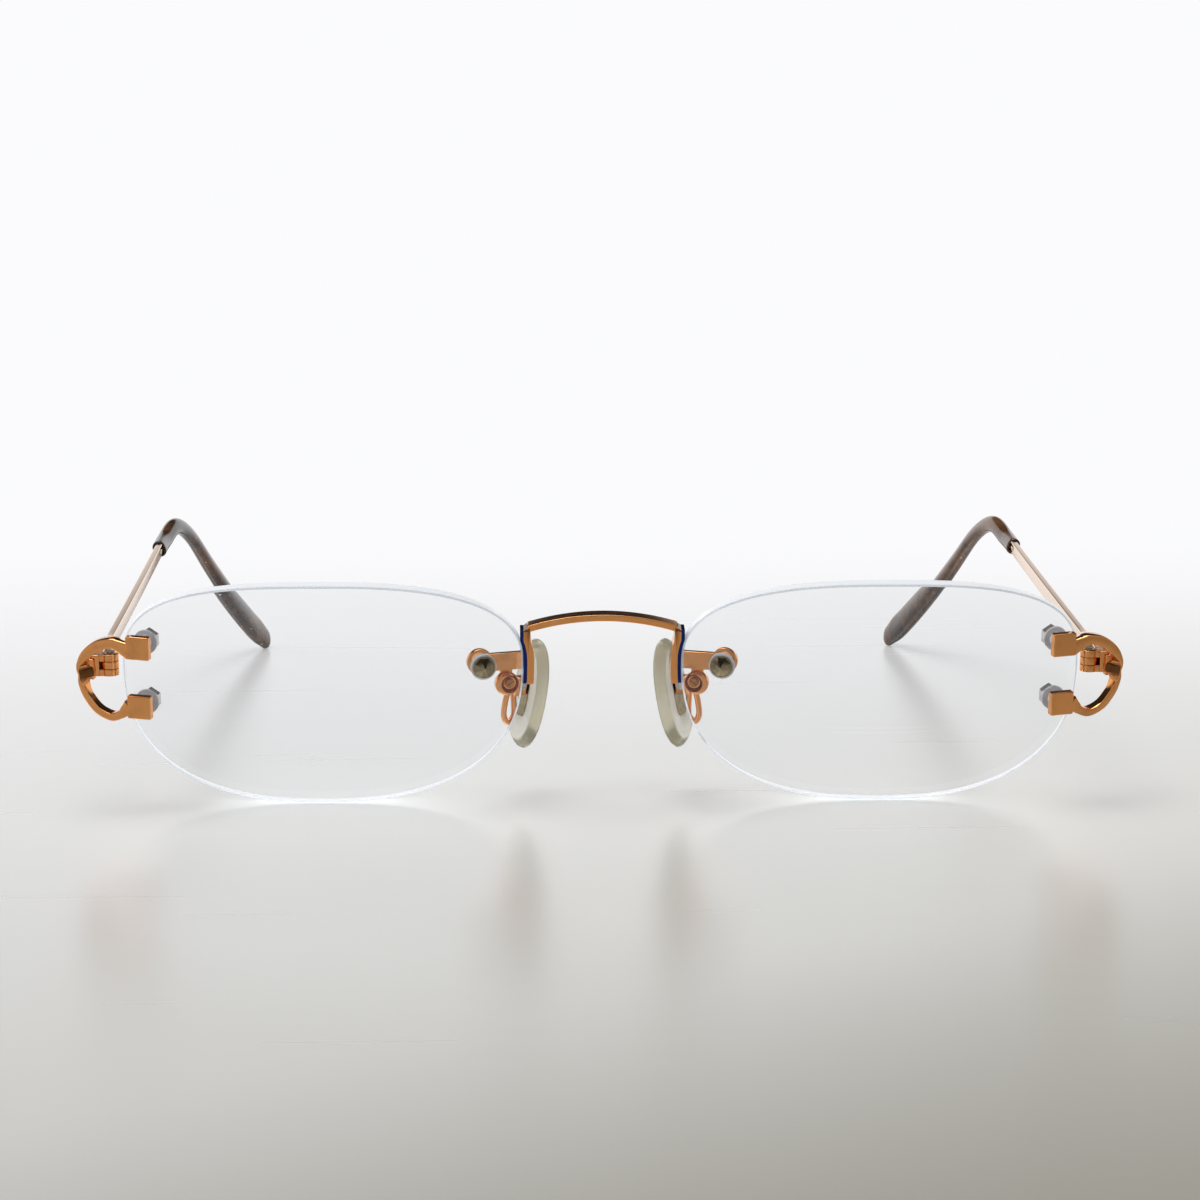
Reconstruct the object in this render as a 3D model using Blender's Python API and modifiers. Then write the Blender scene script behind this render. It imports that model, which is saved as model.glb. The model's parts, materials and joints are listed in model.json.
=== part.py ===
"""Rimless reading glasses: two drilled lenses, a bridge with nose pads, forked endpieces and folding temples.

The glasses stand on their lens bottoms and ear tips, with the fronts facing -Y, the width along X and +Z up.
The wearer's left side is built at +X, and the right side is its mirror image.
"""

import math

import bmesh
import bpy
from mathutils import Euler, Matrix, Vector

MM = 0.001
DEG = math.pi / 180

# Lenses, seen from the front: the upper half is squarer and widest a little above the centre
LENS_WIDTH = 51.3 * MM
LENS_TOP = 14.35 * MM
LENS_BOTTOM = 14.7 * MM
LENS_WIDEST_Z = 3.4 * MM
LENS_POWERS = {"outer_top": 2.75, "nasal_top": 2.4, "nasal_bottom": 2.5, "outer_bottom": 2.5}
LENS_GAP = 20.4 * MM
LENS_FRONT_RADIUS = 88.0 * MM
LENS_BACK_RADIUS = 111.0 * MM
LENS_CENTRE_THICKNESS = 2.8 * MM
LENS_BLANK_RADIUS = 31.0 * MM
LENS_EDGE_SEGMENTS = 72
LENS_BLANK_SEGMENTS = 36
LENS_RINGS = 5
PANTOSCOPIC_TILT = 3.0 * DEG

# Clearances: between seated pieces, to the curved lens faces, and round turning shafts
SEAT = 0.02 * MM
LENS_SEAT = 0.06 * MM
RUNNING = 0.04 * MM

# How far shapes that are joined run into each other, how far cutters stand out, and how small edges are eased
OVERLAP = 0.1 * MM
CUT_MARGIN = 1.0 * MM
CUT_THROUGH = 12.0 * MM
EASED_EDGE = 0.12 * MM

# Holes and hardware through the lenses
STUD_RADIUS = 0.6 * MM
LENS_HOLE_RADIUS = 0.95 * MM
STUD_EDGE_DISTANCE = 2.3 * MM
BUSH_FLANGE_RADIUS = 1.6 * MM
BUSH_FLANGE_THICKNESS = 0.4 * MM
WASHER_RADIUS = 1.5 * MM
WASHER_THICKNESS = 0.35 * MM
NUT_ACROSS_FLATS = 2.6 * MM
NUT_HEIGHT = 1.1 * MM
NUT_CHAMFER = 0.1 * MM
STUD_END = 0.45 * MM
NASAL_HOLE_DISTANCE = 5.15 * MM
NASAL_HOLE_Z = 3.35 * MM
SCREW_HEAD_RADIUS = 1.38 * MM
SCREW_RIM = 0.3 * MM
SCREW_POINT = 0.7 * MM
SCREW_TIP_RADIUS = 0.08 * MM
SCREW_END = 0.35 * MM
SCREW_FACETS = 8

# Endpiece: two lugs on each lens, joined by an open fork whose legs meet outside the lens
FORK_Z = 2.2 * MM
LUG_SPACING = 7.92 * MM
LUG_WIDTH = 3.1 * MM
LUG_HEIGHT = 3.05 * MM
LUG_THICKNESS = 1.1 * MM
LUG_ROUNDING = 0.28 * MM
FORK_REAR = 0.5 * MM
FORK_EDGE = 0.12 * MM
FORK_LENS_CLEARANCE = 0.2 * MM
# Centre line of the legs from the upper lug to the lower one, as (outward, up, face height)
FORK_LINE = [
    (0.9, 3.75, 1.4),
    (2.2, 4.0, 1.25),
    (3.8, 4.2, 1.35),
    (5.6, 3.6, 1.5),
    (7.2, 2.3, 1.55),
    (8.15, 0.9, 1.1),
    (8.45, -0.1, 0.7),
    (8.25, -1.3, 0.95),
    (7.6, -3.2, 0.95),
    (5.85, -5.05, 0.95),
    (3.9, -5.7, 0.9),
    (2.2, -5.15, 0.95),
    (0.9, -4.1, 1.2),
]

# Hinge: five stacked faces on one vertical screw, inboard of the temple and placed from the fork's middle
HINGE_OUTWARD = 5.29 * MM
HINGE_BEHIND = 2.645 * MM
HINGE_UP = 0.23 * MM
KNUCKLE_RADIUS = 1.15 * MM
KNUCKLE_HEIGHT = 0.95 * MM
KNUCKLE_GAP = 0.05 * MM
HINGE_HEIGHT = 2.85 * MM
HINGE_SCREW_RADIUS = 0.4 * MM
HINGE_HEAD_RADIUS = 0.7 * MM
HINGE_HEAD_HEIGHT = 0.28 * MM
HINGE_HEAD_TAPER = 0.07 * MM
SLOT_WIDTH = 0.2 * MM
SLOT_DEPTH = 0.15 * MM
HINGE_BLOCK_INNER = 1.25 * MM
HINGE_BLOCK_OUTER = 2.7 * MM
HINGE_BLOCK_REAR = 0.85 * MM
HINGE_PLATE_THICKNESS = 0.8 * MM
HINGE_PLATE_INNER = 6.7 * MM
HINGE_PLATE_OUTER = 8.9 * MM
HINGE_PLATE_TOP = 1.2 * MM
HINGE_PLATE_BOTTOM = 1.5 * MM
KNUCKLE_WEB_FRONT = 0.92 * MM
KNUCKLE_WEB_REAR = 0.68 * MM
TEMPLE_LEAF_LENGTH = 6.2 * MM
TEMPLE_LEAF_THICKNESS = 0.7 * MM
TEMPLE_LEAF_HEIGHT = 1.9 * MM
TEMPLE_WEB_INSET = 0.3 * MM
TEMPLE_WEB_OVERLAP = 0.5 * MM

# Temple bar, from the butt behind the hinge to the tang inside the ear tip
TEMPLE_INNER = 0.9 * MM
BUTT_THICKNESS = 1.5 * MM
BUTT_HEIGHT = 3.0 * MM
BUTT_LENGTH = 6.5 * MM
BUTT_TAPER = 4.0 * MM
BAR_THICKNESS = 1.0 * MM
BAR_HEIGHT = 2.0 * MM
BAR_END_THICKNESS = 0.95 * MM
BAR_END_HEIGHT = 1.8 * MM
TEMPLE_BOW = -0.3 * MM
TEMPLE_LENGTH = 69.5 * MM
TANG_RADIUS = 0.6 * MM
TANG_LENGTH = 12.0 * MM
TANG_ROOT = 2.0 * MM
TANG_CLEARANCE = 0.5 * MM
BAR_ROUNDING = 0.18 * MM
BAR_STEPS = 6

# Ear tip: centre line behind the hinge as (sideways, back, up), with half thickness and half height
TIP_LINE = [
    (0.0, 0.0, 0.0, 0.95, 1.2),
    (0.0, 6.5, 0.0, 1.0, 1.3),
    (-0.35, 14.5, 0.5, 1.0, 1.4),
    (-1.6, 22.0, -2.6, 1.05, 1.55),
    (-4.1, 29.2, -9.2, 1.1, 1.8),
    (-7.6, 35.8, -16.6, 1.2, 2.2),
    (-11.1, 41.3, -22.9, 1.15, 2.4),
    (-13.1, 44.0, -26.0, 0.85, 1.8),
]
TIP_LEAN = 25.0 * DEG
TIP_END_ROUNDING = 1.2 * MM
TIP_END_SHARES = (0.6, 0.9)
TIP_POWER = 2.3
TIP_SEGMENTS = 14
TIP_STEPS = 3

# Bridge: a flat arched bar brazed to a strap along each lens's nasal edge
STRAP_TOP_Z = 8.0 * MM
STRAP_MITRE = 0.35 * MM
STRAP_BOTTOM_Z = 0.6 * MM
STRAP_NOSE_SIDE = 1.1 * MM
STRAP_LENS_SIDE = 0.4 * MM
STRAP_SETBACK = 0.91 * MM
STRAP_SHORT_OF_ARM = 0.41 * MM
STRAP_STEPS = 8
BRIDGE_RISE = 1.5 * MM
BRIDGE_THICKNESS = 0.85 * MM
BRIDGE_DEPTH = 2.2 * MM
BRIDGE_SEGMENTS = 16
BRIDGE_ROUNDING = 0.1 * MM
ARM_HEIGHT = 2.3 * MM
ARM_DROP = 0.2 * MM
ARM_THICKNESS = 0.8 * MM
EYELET_RADIUS = 1.7 * MM

# Nose pad arms: a boss brazed behind the bridge arm, a U of wire and a clevis at its end
BOSS_RADIUS = 1.55 * MM
BOSS_THICKNESS = 1.5 * MM
BOSS_X = -3.6 * MM
BOSS_Z = -3.3 * MM
TAB_WIDTH = 1.6 * MM
TAB_THICKNESS = 0.7 * MM
BOSS_SCREW_RADIUS = 0.75 * MM
BOSS_SCREW_OFFSET = -0.4 * MM
RECESS_RADIUS = 0.92 * MM
RECESS_DEPTH = 0.6 * MM
WIRE_RADIUS = 0.39 * MM
WIRE_STEPS = 4
BOSS_SCREW_HEAD = 0.35 * MM
# Where the wire leaves the boss, and its bend as (outward from the lens's edge, behind the lens's face, up)
WIRE_ROOT = (-0.23, 0.1, -1.1)
WIRE_BEND = [(2.6, 4.41, -2.7), (2.8, 4.81, -4.6), (2.3, 5.31, -5.7), (1.55, 5.81, -4.8)]
CLEVIS_LENGTH = 2.4 * MM
CLEVIS_WIDTH = 2.1 * MM
CLEVIS_DEPTH = 1.9 * MM
CLEVIS_FRONT = 0.75 * MM
CLEVIS_WALL = 0.5 * MM

# Nose pads: silicone ovals moulded round a metal core that rocks on the clevis pin
PAD_OUTWARD = 0.7 * MM
PAD_BEHIND = 6.71 * MM
PAD_Z = -1.2 * MM
PAD_SPLAY = 32.0 * DEG
PAD_FRONTAL = 11.5 * DEG
PAD_LENGTH = 14.6 * MM
PAD_WIDTH = 7.4 * MM
PAD_DROP = 1.2 * MM
PAD_THICKNESS = 2.3 * MM
PAD_BACK = 0.95 * MM
PAD_POWER = 2.25
PAD_SEGMENTS = 32
# From the back to the domed face, as (share of the thickness, share of the outline)
PAD_LAYERS = [(0.0, 0.84), (0.07, 0.95), (0.27, 1.0), (0.59, 0.93), (0.82, 0.76), (0.96, 0.45)]
CORE_LENGTH = 8.4 * MM
CORE_WIDTH = 2.6 * MM
CORE_THICKNESS = 0.6 * MM
CORE_POWER = 4
STEM_WIDTH = 0.9 * MM
STEM_LENGTH = 1.3 * MM
STEM_CLEARANCE = 0.2 * MM
PIN_RADIUS = 0.35 * MM
PIN_HEAD_RADIUS = 0.6 * MM
PIN_HEAD_HEIGHT = 0.25 * MM
PIN_END = 0.05 * MM

ROUND = 20
SMALL_ROUND = 12

COPPER = ("rose_gold", (0.43, 0.19, 0.085), 0.22, 1.0)
STEEL = ("steel", (0.55, 0.56, 0.58), 0.25, 1.0)
BRONZE = ("dark_bronze", (0.16, 0.13, 0.08), 0.35, 1.0)
LENS_GLASS = ("lens_clear", (0.95, 0.97, 0.98), 0.02, 0.0)
NYLON = ("nylon_clear", (0.85, 0.87, 0.88), 0.15, 0.0)
SILICONE = ("silicone", (0.72, 0.70, 0.52), 0.3, 0.0)
ACETATE = ("ear_tip_brown", (0.09, 0.055, 0.04), 0.12, 0.0)


def clear_scene():
    for obj in list(bpy.data.objects):
        bpy.data.objects.remove(obj)


def new_collection(name, hidden=False):
    made = bpy.data.collections.new(name)
    bpy.context.scene.collection.children.link(made)
    made.hide_render = hidden
    return made


def material(name, colour, roughness, metallic):
    found = bpy.data.materials.get(name)
    if found:
        return found
    made = bpy.data.materials.new(name)
    made.use_nodes = True
    shader = made.node_tree.nodes["Principled BSDF"]
    shader.inputs["Base Color"].default_value = (*colour, 1.0)
    shader.inputs["Roughness"].default_value = roughness
    shader.inputs["Metallic"].default_value = metallic
    made.diffuse_color = (*colour, 1.0)
    return made


def empty(name, parent=None, frame=None, mirrored=False):
    made = bpy.data.objects.new(name, None)
    made.empty_display_size = 3 * MM
    parts.objects.link(made)
    made.parent = parent
    if frame:
        made.location = frame.to_translation()
        made.rotation_euler = frame.to_euler()
    if mirrored:
        made.scale.x = -1
    return made


# Solids, each made as a bmesh about its own origin


def box(low, high, rounding=0.0):
    """A box between two corners, with its edges rounded off."""
    bm = bmesh.new()
    low, high = Vector(low), Vector(high)
    bmesh.ops.create_cube(bm, size=1)
    bmesh.ops.scale(bm, vec=high - low, verts=bm.verts)
    bmesh.ops.translate(bm, vec=(low + high) / 2, verts=bm.verts)
    if rounding:
        bmesh.ops.bevel(bm, geom=bm.edges, offset=rounding, segments=2, profile=0.5, affect="EDGES")
    return bm


def rod(radius, start, end, axis, segments=ROUND, end_radius=None):
    """A cylinder, or a cone, between two places on an axis that runs through the origin."""
    bm = bmesh.new()
    end_radius = radius if end_radius is None else end_radius
    bmesh.ops.create_cone(
        bm, cap_ends=True, segments=segments, radius1=radius, radius2=end_radius, depth=end - start
    )
    bmesh.ops.translate(bm, vec=(0, 0, (start + end) / 2), verts=bm.verts)
    if axis == "Y":
        bmesh.ops.rotate(bm, matrix=Matrix.Rotation(-90 * DEG, 3, "X"), verts=bm.verts)
    return bm


def moved(bm, offset):
    bmesh.ops.translate(bm, vec=offset, verts=bm.verts)
    return bm


def loft(rings, close_start=None, close_end=None):
    """Skins a row of closed rings that have as many points each, and closes the ends flat or on a point."""
    bm = bmesh.new()
    loops = [[bm.verts.new(p) for p in ring] for ring in rings]
    count = len(loops[0])
    for near, far in zip(loops, loops[1:]):
        for i in range(count):
            j = (i + 1) % count
            bm.faces.new((near[i], near[j], far[j], far[i]))
    for loop, tip in ((loops[0], close_start), (loops[-1], close_end)):
        if tip is None:
            bm.faces.new(loop)
            continue
        point = bm.verts.new(tip)
        for i in range(count):
            bm.faces.new((loop[i], loop[(i + 1) % count], point))
    bmesh.ops.recalc_face_normals(bm, faces=bm.faces)
    return bm


def mesh_of(bm, name="shape"):
    mesh = bpy.data.meshes.new(name)
    bmesh.ops.recalc_face_normals(bm, faces=bm.faces)
    bm.to_mesh(mesh)
    bm.free()
    return mesh


def helper(bm_or_mesh, name="helper"):
    """An object in the cutters' collection, which takes part in Booleans and isn't drawn."""
    mesh = bm_or_mesh if isinstance(bm_or_mesh, bpy.types.Mesh) else mesh_of(bm_or_mesh, name)
    made = bpy.data.objects.new(name, mesh)
    made.hide_render = True
    made.display_type = "WIRE"
    cutters.objects.link(made)
    return made


def evaluated_mesh(obj):
    """The object's mesh with its modifiers applied, and a curve's loose caps welded on."""
    graph = bpy.context.evaluated_depsgraph_get()
    mesh = bpy.data.meshes.new_from_object(obj.evaluated_get(graph))
    bm = bmesh.new()
    bm.from_mesh(mesh)
    bmesh.ops.transform(bm, matrix=obj.matrix_world, verts=bm.verts)
    bmesh.ops.remove_doubles(bm, verts=bm.verts, dist=0.0005 * MM)
    bmesh.ops.recalc_face_normals(bm, faces=bm.faces)
    bm.to_mesh(mesh)
    bm.free()
    return mesh


def combined(base, joins=(), cuts=(), meets=()):
    """The base solid with others joined to it, cut from it or intersected with it, as one mesh."""
    body = helper(base, "body")
    steps = [("UNION", s) for s in joins] + [("DIFFERENCE", s) for s in cuts]
    steps += [("INTERSECT", s) for s in meets]
    tools = []
    for operation, shape in steps:
        tool = helper(shape, "tool")
        tools.append(tool)
        modifier = body.modifiers.new(operation.lower(), "BOOLEAN")
        modifier.operation = operation
        modifier.solver = "EXACT"
        modifier.object = tool
    bpy.context.view_layer.update()
    mesh = evaluated_mesh(body)
    for obj in (body, *tools):
        bpy.data.objects.remove(obj)
    return mesh


def placed(mesh_or_bm, matrix):
    """The same solid moved by a matrix, such as from one frame into another."""
    mesh = mesh_or_bm if isinstance(mesh_or_bm, bpy.types.Mesh) else mesh_of(mesh_or_bm)
    mesh.transform(matrix)
    return mesh


def plate(outline, low_y, high_y, rounding=0.0):
    """A flat outline in the XZ plane, given thickness along Y, with its rims rounded off."""
    curve = bpy.data.curves.new("outline", "CURVE")
    curve.dimensions = "2D"
    curve.fill_mode = "BOTH"
    curve.extrude = (high_y - low_y) / 2 - rounding
    curve.bevel_depth = rounding
    curve.bevel_resolution = 1
    curve.offset = -rounding
    spline = curve.splines.new("POLY")
    spline.points.add(len(outline) - 1)
    for point, (x, z) in zip(spline.points, outline):
        point.co = (x, z, 0, 1)
    spline.use_cyclic_u = True
    made = bpy.data.objects.new("plate", curve)
    cutters.objects.link(made)
    # The outline's up axis turns to +Z, and its thickness to Y
    made.matrix_world = Matrix.Translation((0, (low_y + high_y) / 2, 0)) @ Matrix.Rotation(90 * DEG, 4, "X")
    bpy.context.view_layer.update()
    mesh = evaluated_mesh(made)
    bpy.data.objects.remove(made)
    return mesh


def wire(points, radius):
    curve = bpy.data.curves.new("wire", "CURVE")
    curve.dimensions = "3D"
    curve.bevel_depth = radius
    curve.bevel_resolution = 2
    curve.use_fill_caps = True
    spline = curve.splines.new("POLY")
    spline.points.add(len(points) - 1)
    for point, place in zip(spline.points, points):
        point.co = (*place, 1)
    made = bpy.data.objects.new("wire", curve)
    cutters.objects.link(made)
    bpy.context.view_layer.update()
    mesh = evaluated_mesh(made)
    bpy.data.objects.remove(made)
    return mesh


def turned(profile, segments, axis="Z"):
    """A profile of (radius, height) turned about Z with the Screw modifier, then laid along the axis."""
    mesh = bpy.data.meshes.new("profile")
    mesh.from_pydata([(r, 0, z) for r, z in profile], [(i, i + 1) for i in range(len(profile) - 1)], [])
    obj = helper(mesh, "turned")
    screw = obj.modifiers.new("turn", "SCREW")
    screw.axis = "Z"
    screw.steps = segments
    screw.render_steps = segments
    screw.use_merge_vertices = True
    screw.merge_threshold = 0.00001 * MM
    screw.use_normal_calculate = True
    if axis == "Y":
        obj.rotation_euler.x = -90 * DEG
    bpy.context.view_layer.update()
    made = evaluated_mesh(obj)
    bpy.data.objects.remove(obj)
    return made


def ring(outer, inner, low, high, axis, segments=ROUND):
    """A washer or sleeve: a square profile turned about the axis."""
    profile = [(outer, high), (outer, low), (inner, low), (inner, high), (outer, high)]
    return turned(profile, segments, axis)


def smooth_row(points, steps):
    """A smooth row through the given points: Catmull-Rom in each of their coordinates."""
    rows = [Vector(p) for p in points]
    rows = [2 * rows[0] - rows[1], *rows, 2 * rows[-1] - rows[-2]]
    made = []
    for a, b, c, d in zip(rows, rows[1:], rows[2:], rows[3:]):
        for i in range(steps):
            t = i / steps
            made.append(
                0.5 * (2 * b + (c - a) * t + (2 * a - 5 * b + 4 * c - d) * t**2 + (3 * b - a - 3 * c + d) * t**3)
            )
    made.append(rows[-2])
    return made


def oval(half_width, half_height, power, count):
    """Points of a superellipse, anticlockwise from +X."""
    made = []
    for i in range(count):
        angle = 2 * math.pi * i / count
        c, s = math.cos(angle), math.sin(angle)
        made.append(
            (
                half_width * math.copysign(abs(c) ** (2 / power), c),
                half_height * math.copysign(abs(s) ** (2 / power), s),
            )
        )
    return made


def both_sides(name, mesh, finish, left_parent, right_parent, sharp=35):
    """One mesh, drawn on the left and, under its mirrored parent, on the right."""
    mesh.name = name
    mesh.materials.clear()
    mesh.materials.append(material(*finish))
    mesh.shade_smooth()
    mesh.set_sharp_from_angle(angle=sharp * DEG)
    for side, parent in (("left", left_parent), ("right", right_parent)):
        made = bpy.data.objects.new(f"{side}_{name}", mesh)
        parts.objects.link(made)
        made.parent = parent


# Lens shape


def lens_outline(x_angle, grow=0.0):
    """The lens's edge at an angle from its centre, as (outward, up) for the left lens."""
    c, s = math.cos(x_angle), math.sin(x_angle)
    half = ("outer" if c >= 0 else "nasal") + ("_top" if s >= 0 else "_bottom")
    power = LENS_POWERS[half]
    height = LENS_TOP - LENS_WIDEST_Z if s >= 0 else LENS_BOTTOM + LENS_WIDEST_Z
    x = math.copysign(abs(c) ** (2 / power), c) * (LENS_WIDTH / 2 + grow)
    z = math.copysign(abs(s) ** (2 / power), s) * (height + grow) + LENS_WIDEST_Z
    return x, z


def lens_edge(grow=0.0, count=LENS_EDGE_SEGMENTS):
    return [lens_outline(2 * math.pi * i / count, grow) for i in range(count)]


def nasal_edge_x(z):
    """How far outward from the lens centre the nasal edge lies at a height: negative, toward the nose."""
    top = z >= LENS_WIDEST_Z
    power = LENS_POWERS["nasal_top" if top else "nasal_bottom"]
    height = LENS_TOP - LENS_WIDEST_Z if top else LENS_BOTTOM + LENS_WIDEST_Z
    share = abs(z - LENS_WIDEST_Z) / height
    return -LENS_WIDTH / 2 * (1 - share**power) ** (1 / power)


def front_depth(x, z):
    """Depth of the lens's front face behind its foremost point."""
    return LENS_FRONT_RADIUS - math.sqrt(LENS_FRONT_RADIUS**2 - x * x - z * z)


def rear_seat(frame, radius, heights=(0,)):
    """How far behind the frame's plane a flat ring of this radius clears the lens's back face."""
    centre = Vector((LENS_X, LENS_CENTRE_THICKNESS + LENS_BACK_RADIUS, 0))
    along = frame.to_3x3() @ Vector((0, 1, 0))
    reached = []
    for height in heights:
        for x, z in oval(radius, radius, 2, SMALL_ROUND):
            to_centre = centre - frame @ Vector((x, 0, height + z))
            middle = to_centre.dot(along)
            reached.append(middle - math.sqrt(middle**2 - to_centre.length_squared + LENS_BACK_RADIUS**2))
    return max(reached) + LENS_SEAT


def face_frame(x, z):
    """A frame on the lens's front face, turned sideways with it, whose Y runs back through the lens."""
    place = Matrix.Translation((LENS_X + x, front_depth(x, z), z))
    return place @ Matrix.Rotation(math.asin(x / LENS_FRONT_RADIUS), 4, "Z")


LENS_X = LENS_GAP / 2 + LENS_WIDTH / 2
STUD_Z = LUG_SPACING / 2
STUD_FRAME = face_frame(LENS_WIDTH / 2 - STUD_EDGE_DISTANCE, FORK_Z)
NASAL_FRAME = face_frame(NASAL_HOLE_DISTANCE - LENS_WIDTH / 2, NASAL_HOLE_Z)
STUD_REAR = rear_seat(STUD_FRAME, BUSH_FLANGE_RADIUS, (STUD_Z, -STUD_Z))
NASAL_REAR = rear_seat(NASAL_FRAME, EYELET_RADIUS)
NUT_SEAT = STUD_REAR + BUSH_FLANGE_THICKNESS + WASHER_THICKNESS + 2 * SEAT
FRONT_TILT = Matrix.Rotation(PANTOSCOPIC_TILT, 4, "X")
HINGE_PLACE = FRONT_TILT @ STUD_FRAME @ Vector((HINGE_OUTWARD, HINGE_BEHIND, HINGE_UP))
HINGE_FRAME = Matrix.Translation(HINGE_PLACE)
BUTT_START = HINGE_BLOCK_REAR + 2 * SEAT
BUTT_END = BUTT_START + BUTT_LENGTH
NASAL_EDGE_X = LENS_GAP / 2
NASAL_DEPTH = NASAL_FRAME.to_translation().y
ARM_ROOT = NASAL_FRAME @ Vector((-NASAL_HOLE_DISTANCE, NASAL_REAR + ARM_THICKNESS, 0))
STRAP_NOSE_X = NASAL_EDGE_X - STRAP_NOSE_SIDE
STRAP_FRONT_Y = NASAL_DEPTH + STRAP_SETBACK
STRAP_REAR_Y = ARM_ROOT.y - STRAP_SHORT_OF_ARM
PAD_PLACE = Matrix.Translation((NASAL_EDGE_X + PAD_OUTWARD, NASAL_DEPTH + PAD_BEHIND, PAD_Z))
PAD_FRAME = PAD_PLACE @ Euler((0, -PAD_FRONTAL, -PAD_SPLAY)).to_matrix().to_4x4()


def lens_blank():
    """The round blank: a convex front and a hollow back, turned about the optical axis."""
    radii = [LENS_BLANK_RADIUS * i / LENS_RINGS for i in range(LENS_RINGS + 1)]
    back = [
        (r, LENS_CENTRE_THICKNESS + LENS_BACK_RADIUS - math.sqrt(LENS_BACK_RADIUS**2 - r * r)) for r in radii
    ]
    front = [(r, front_depth(r, 0)) for r in reversed(radii)]
    return turned(back + front, LENS_BLANK_SEGMENTS, "Y")


def make_lens():
    edge = plate(lens_edge(), -CUT_THROUGH, CUT_THROUGH)
    holes = []
    for z in (STUD_Z, -STUD_Z):
        hole = moved(rod(LENS_HOLE_RADIUS, -CUT_THROUGH, CUT_THROUGH, "Y", SMALL_ROUND), (0, 0, z))
        holes.append(placed(hole, Matrix.Translation((-LENS_X, 0, 0)) @ STUD_FRAME))
    hole = rod(LENS_HOLE_RADIUS, -CUT_THROUGH, CUT_THROUGH, "Y", SMALL_ROUND)
    holes.append(placed(hole, Matrix.Translation((-LENS_X, 0, 0)) @ NASAL_FRAME))
    lens = combined(lens_blank(), meets=[edge])
    return placed(combined(lens, cuts=holes), Matrix.Translation((LENS_X, 0, 0)))


# Endpiece


def ribbon_outline(points, steps):
    """The outline of a band that follows a centre line of (across, up, width) points, in millimetres."""
    row = smooth_row(points, steps)
    left, right = [], []
    for i, here in enumerate(row):
        along = row[min(i + 1, len(row) - 1)] - row[max(i - 1, 0)]
        across = Vector((-along.y, along.x)).normalized() * here.z / 2
        centre = Vector((here.x, here.y))
        left.append((centre + across) * MM)
        right.append((centre - across) * MM)
    return [tuple(p) for p in left + right[::-1]]


def make_fork():
    """The open fork, its two lugs on the lens face and the studs that go through the lens."""
    band = plate(ribbon_outline(FORK_LINE, 2), -LUG_THICKNESS, FORK_REAR, FORK_EDGE)
    half_width, half_height = LUG_WIDTH / 2, LUG_HEIGHT / 2
    stud_length = NUT_SEAT + NUT_HEIGHT + STUD_END
    joins = []
    for z in (STUD_Z, -STUD_Z):
        lug = box(
            (-half_width, -LUG_THICKNESS - FORK_EDGE / 2, z - half_height),
            (half_width, -SEAT, z + half_height),
            LUG_ROUNDING,
        )
        joins.append(lug)
        joins.append(moved(rod(STUD_RADIUS, -LUG_THICKNESS / 2, stud_length, "Y", SMALL_ROUND), (0, 0, z)))
    to_fork = STUD_FRAME.inverted() @ Matrix.Translation((LENS_X, 0, 0))
    over_lens = plate(lens_edge(FORK_LENS_CLEARANCE), -CUT_THROUGH, CUT_THROUGH)
    behind_face = box((-CUT_THROUGH, -SEAT, -CUT_THROUGH), (CUT_THROUGH, CUT_THROUGH, CUT_THROUGH))
    lens_space = combined(placed(over_lens, to_fork), meets=[behind_face])
    legs = combined(band, cuts=[lens_space])
    return combined(legs, joins=joins)


def make_stud_bush():
    """The clear sleeve in the lens hole, with its flange against the lens's back face."""
    inner = STUD_RADIUS + RUNNING
    outer = LENS_HOLE_RADIUS - RUNNING
    end = STUD_REAR + BUSH_FLANGE_THICKNESS
    profile = [
        (BUSH_FLANGE_RADIUS, end),
        (BUSH_FLANGE_RADIUS, STUD_REAR),
        (outer, STUD_REAR),
        (outer, SEAT),
        (inner, SEAT),
        (inner, end),
        (BUSH_FLANGE_RADIUS, end),
    ]
    return turned(profile, ROUND, "Y")


def make_stud_washer():
    start = STUD_REAR + BUSH_FLANGE_THICKNESS + SEAT
    return ring(WASHER_RADIUS, STUD_RADIUS + RUNNING, start, start + WASHER_THICKNESS, "Y")


def make_stud_nut():
    """A hexagon nut with its outer corners turned off."""
    start = NUT_SEAT
    corner = NUT_ACROSS_FLATS / math.sqrt(3)
    nut = rod(corner, start, start + NUT_HEIGHT, "Y", 6)
    chamfer = rod(
        corner, start, start + NUT_HEIGHT, "Y", ROUND, end_radius=NUT_ACROSS_FLATS / 2 - NUT_CHAMFER
    )
    hole = rod(STUD_RADIUS + RUNNING, start - CUT_MARGIN, start + NUT_HEIGHT + CUT_MARGIN, "Y", SMALL_ROUND)
    return combined(nut, cuts=[hole], meets=[chamfer])


# Hinge and temple, about the hinge axis


def knuckle(low, high):
    return rod(KNUCKLE_RADIUS, low, high, "Z")


def screw_hole():
    return rod(HINGE_SCREW_RADIUS + RUNNING, -CUT_THROUGH, CUT_THROUGH, "Z", SMALL_ROUND)


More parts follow.
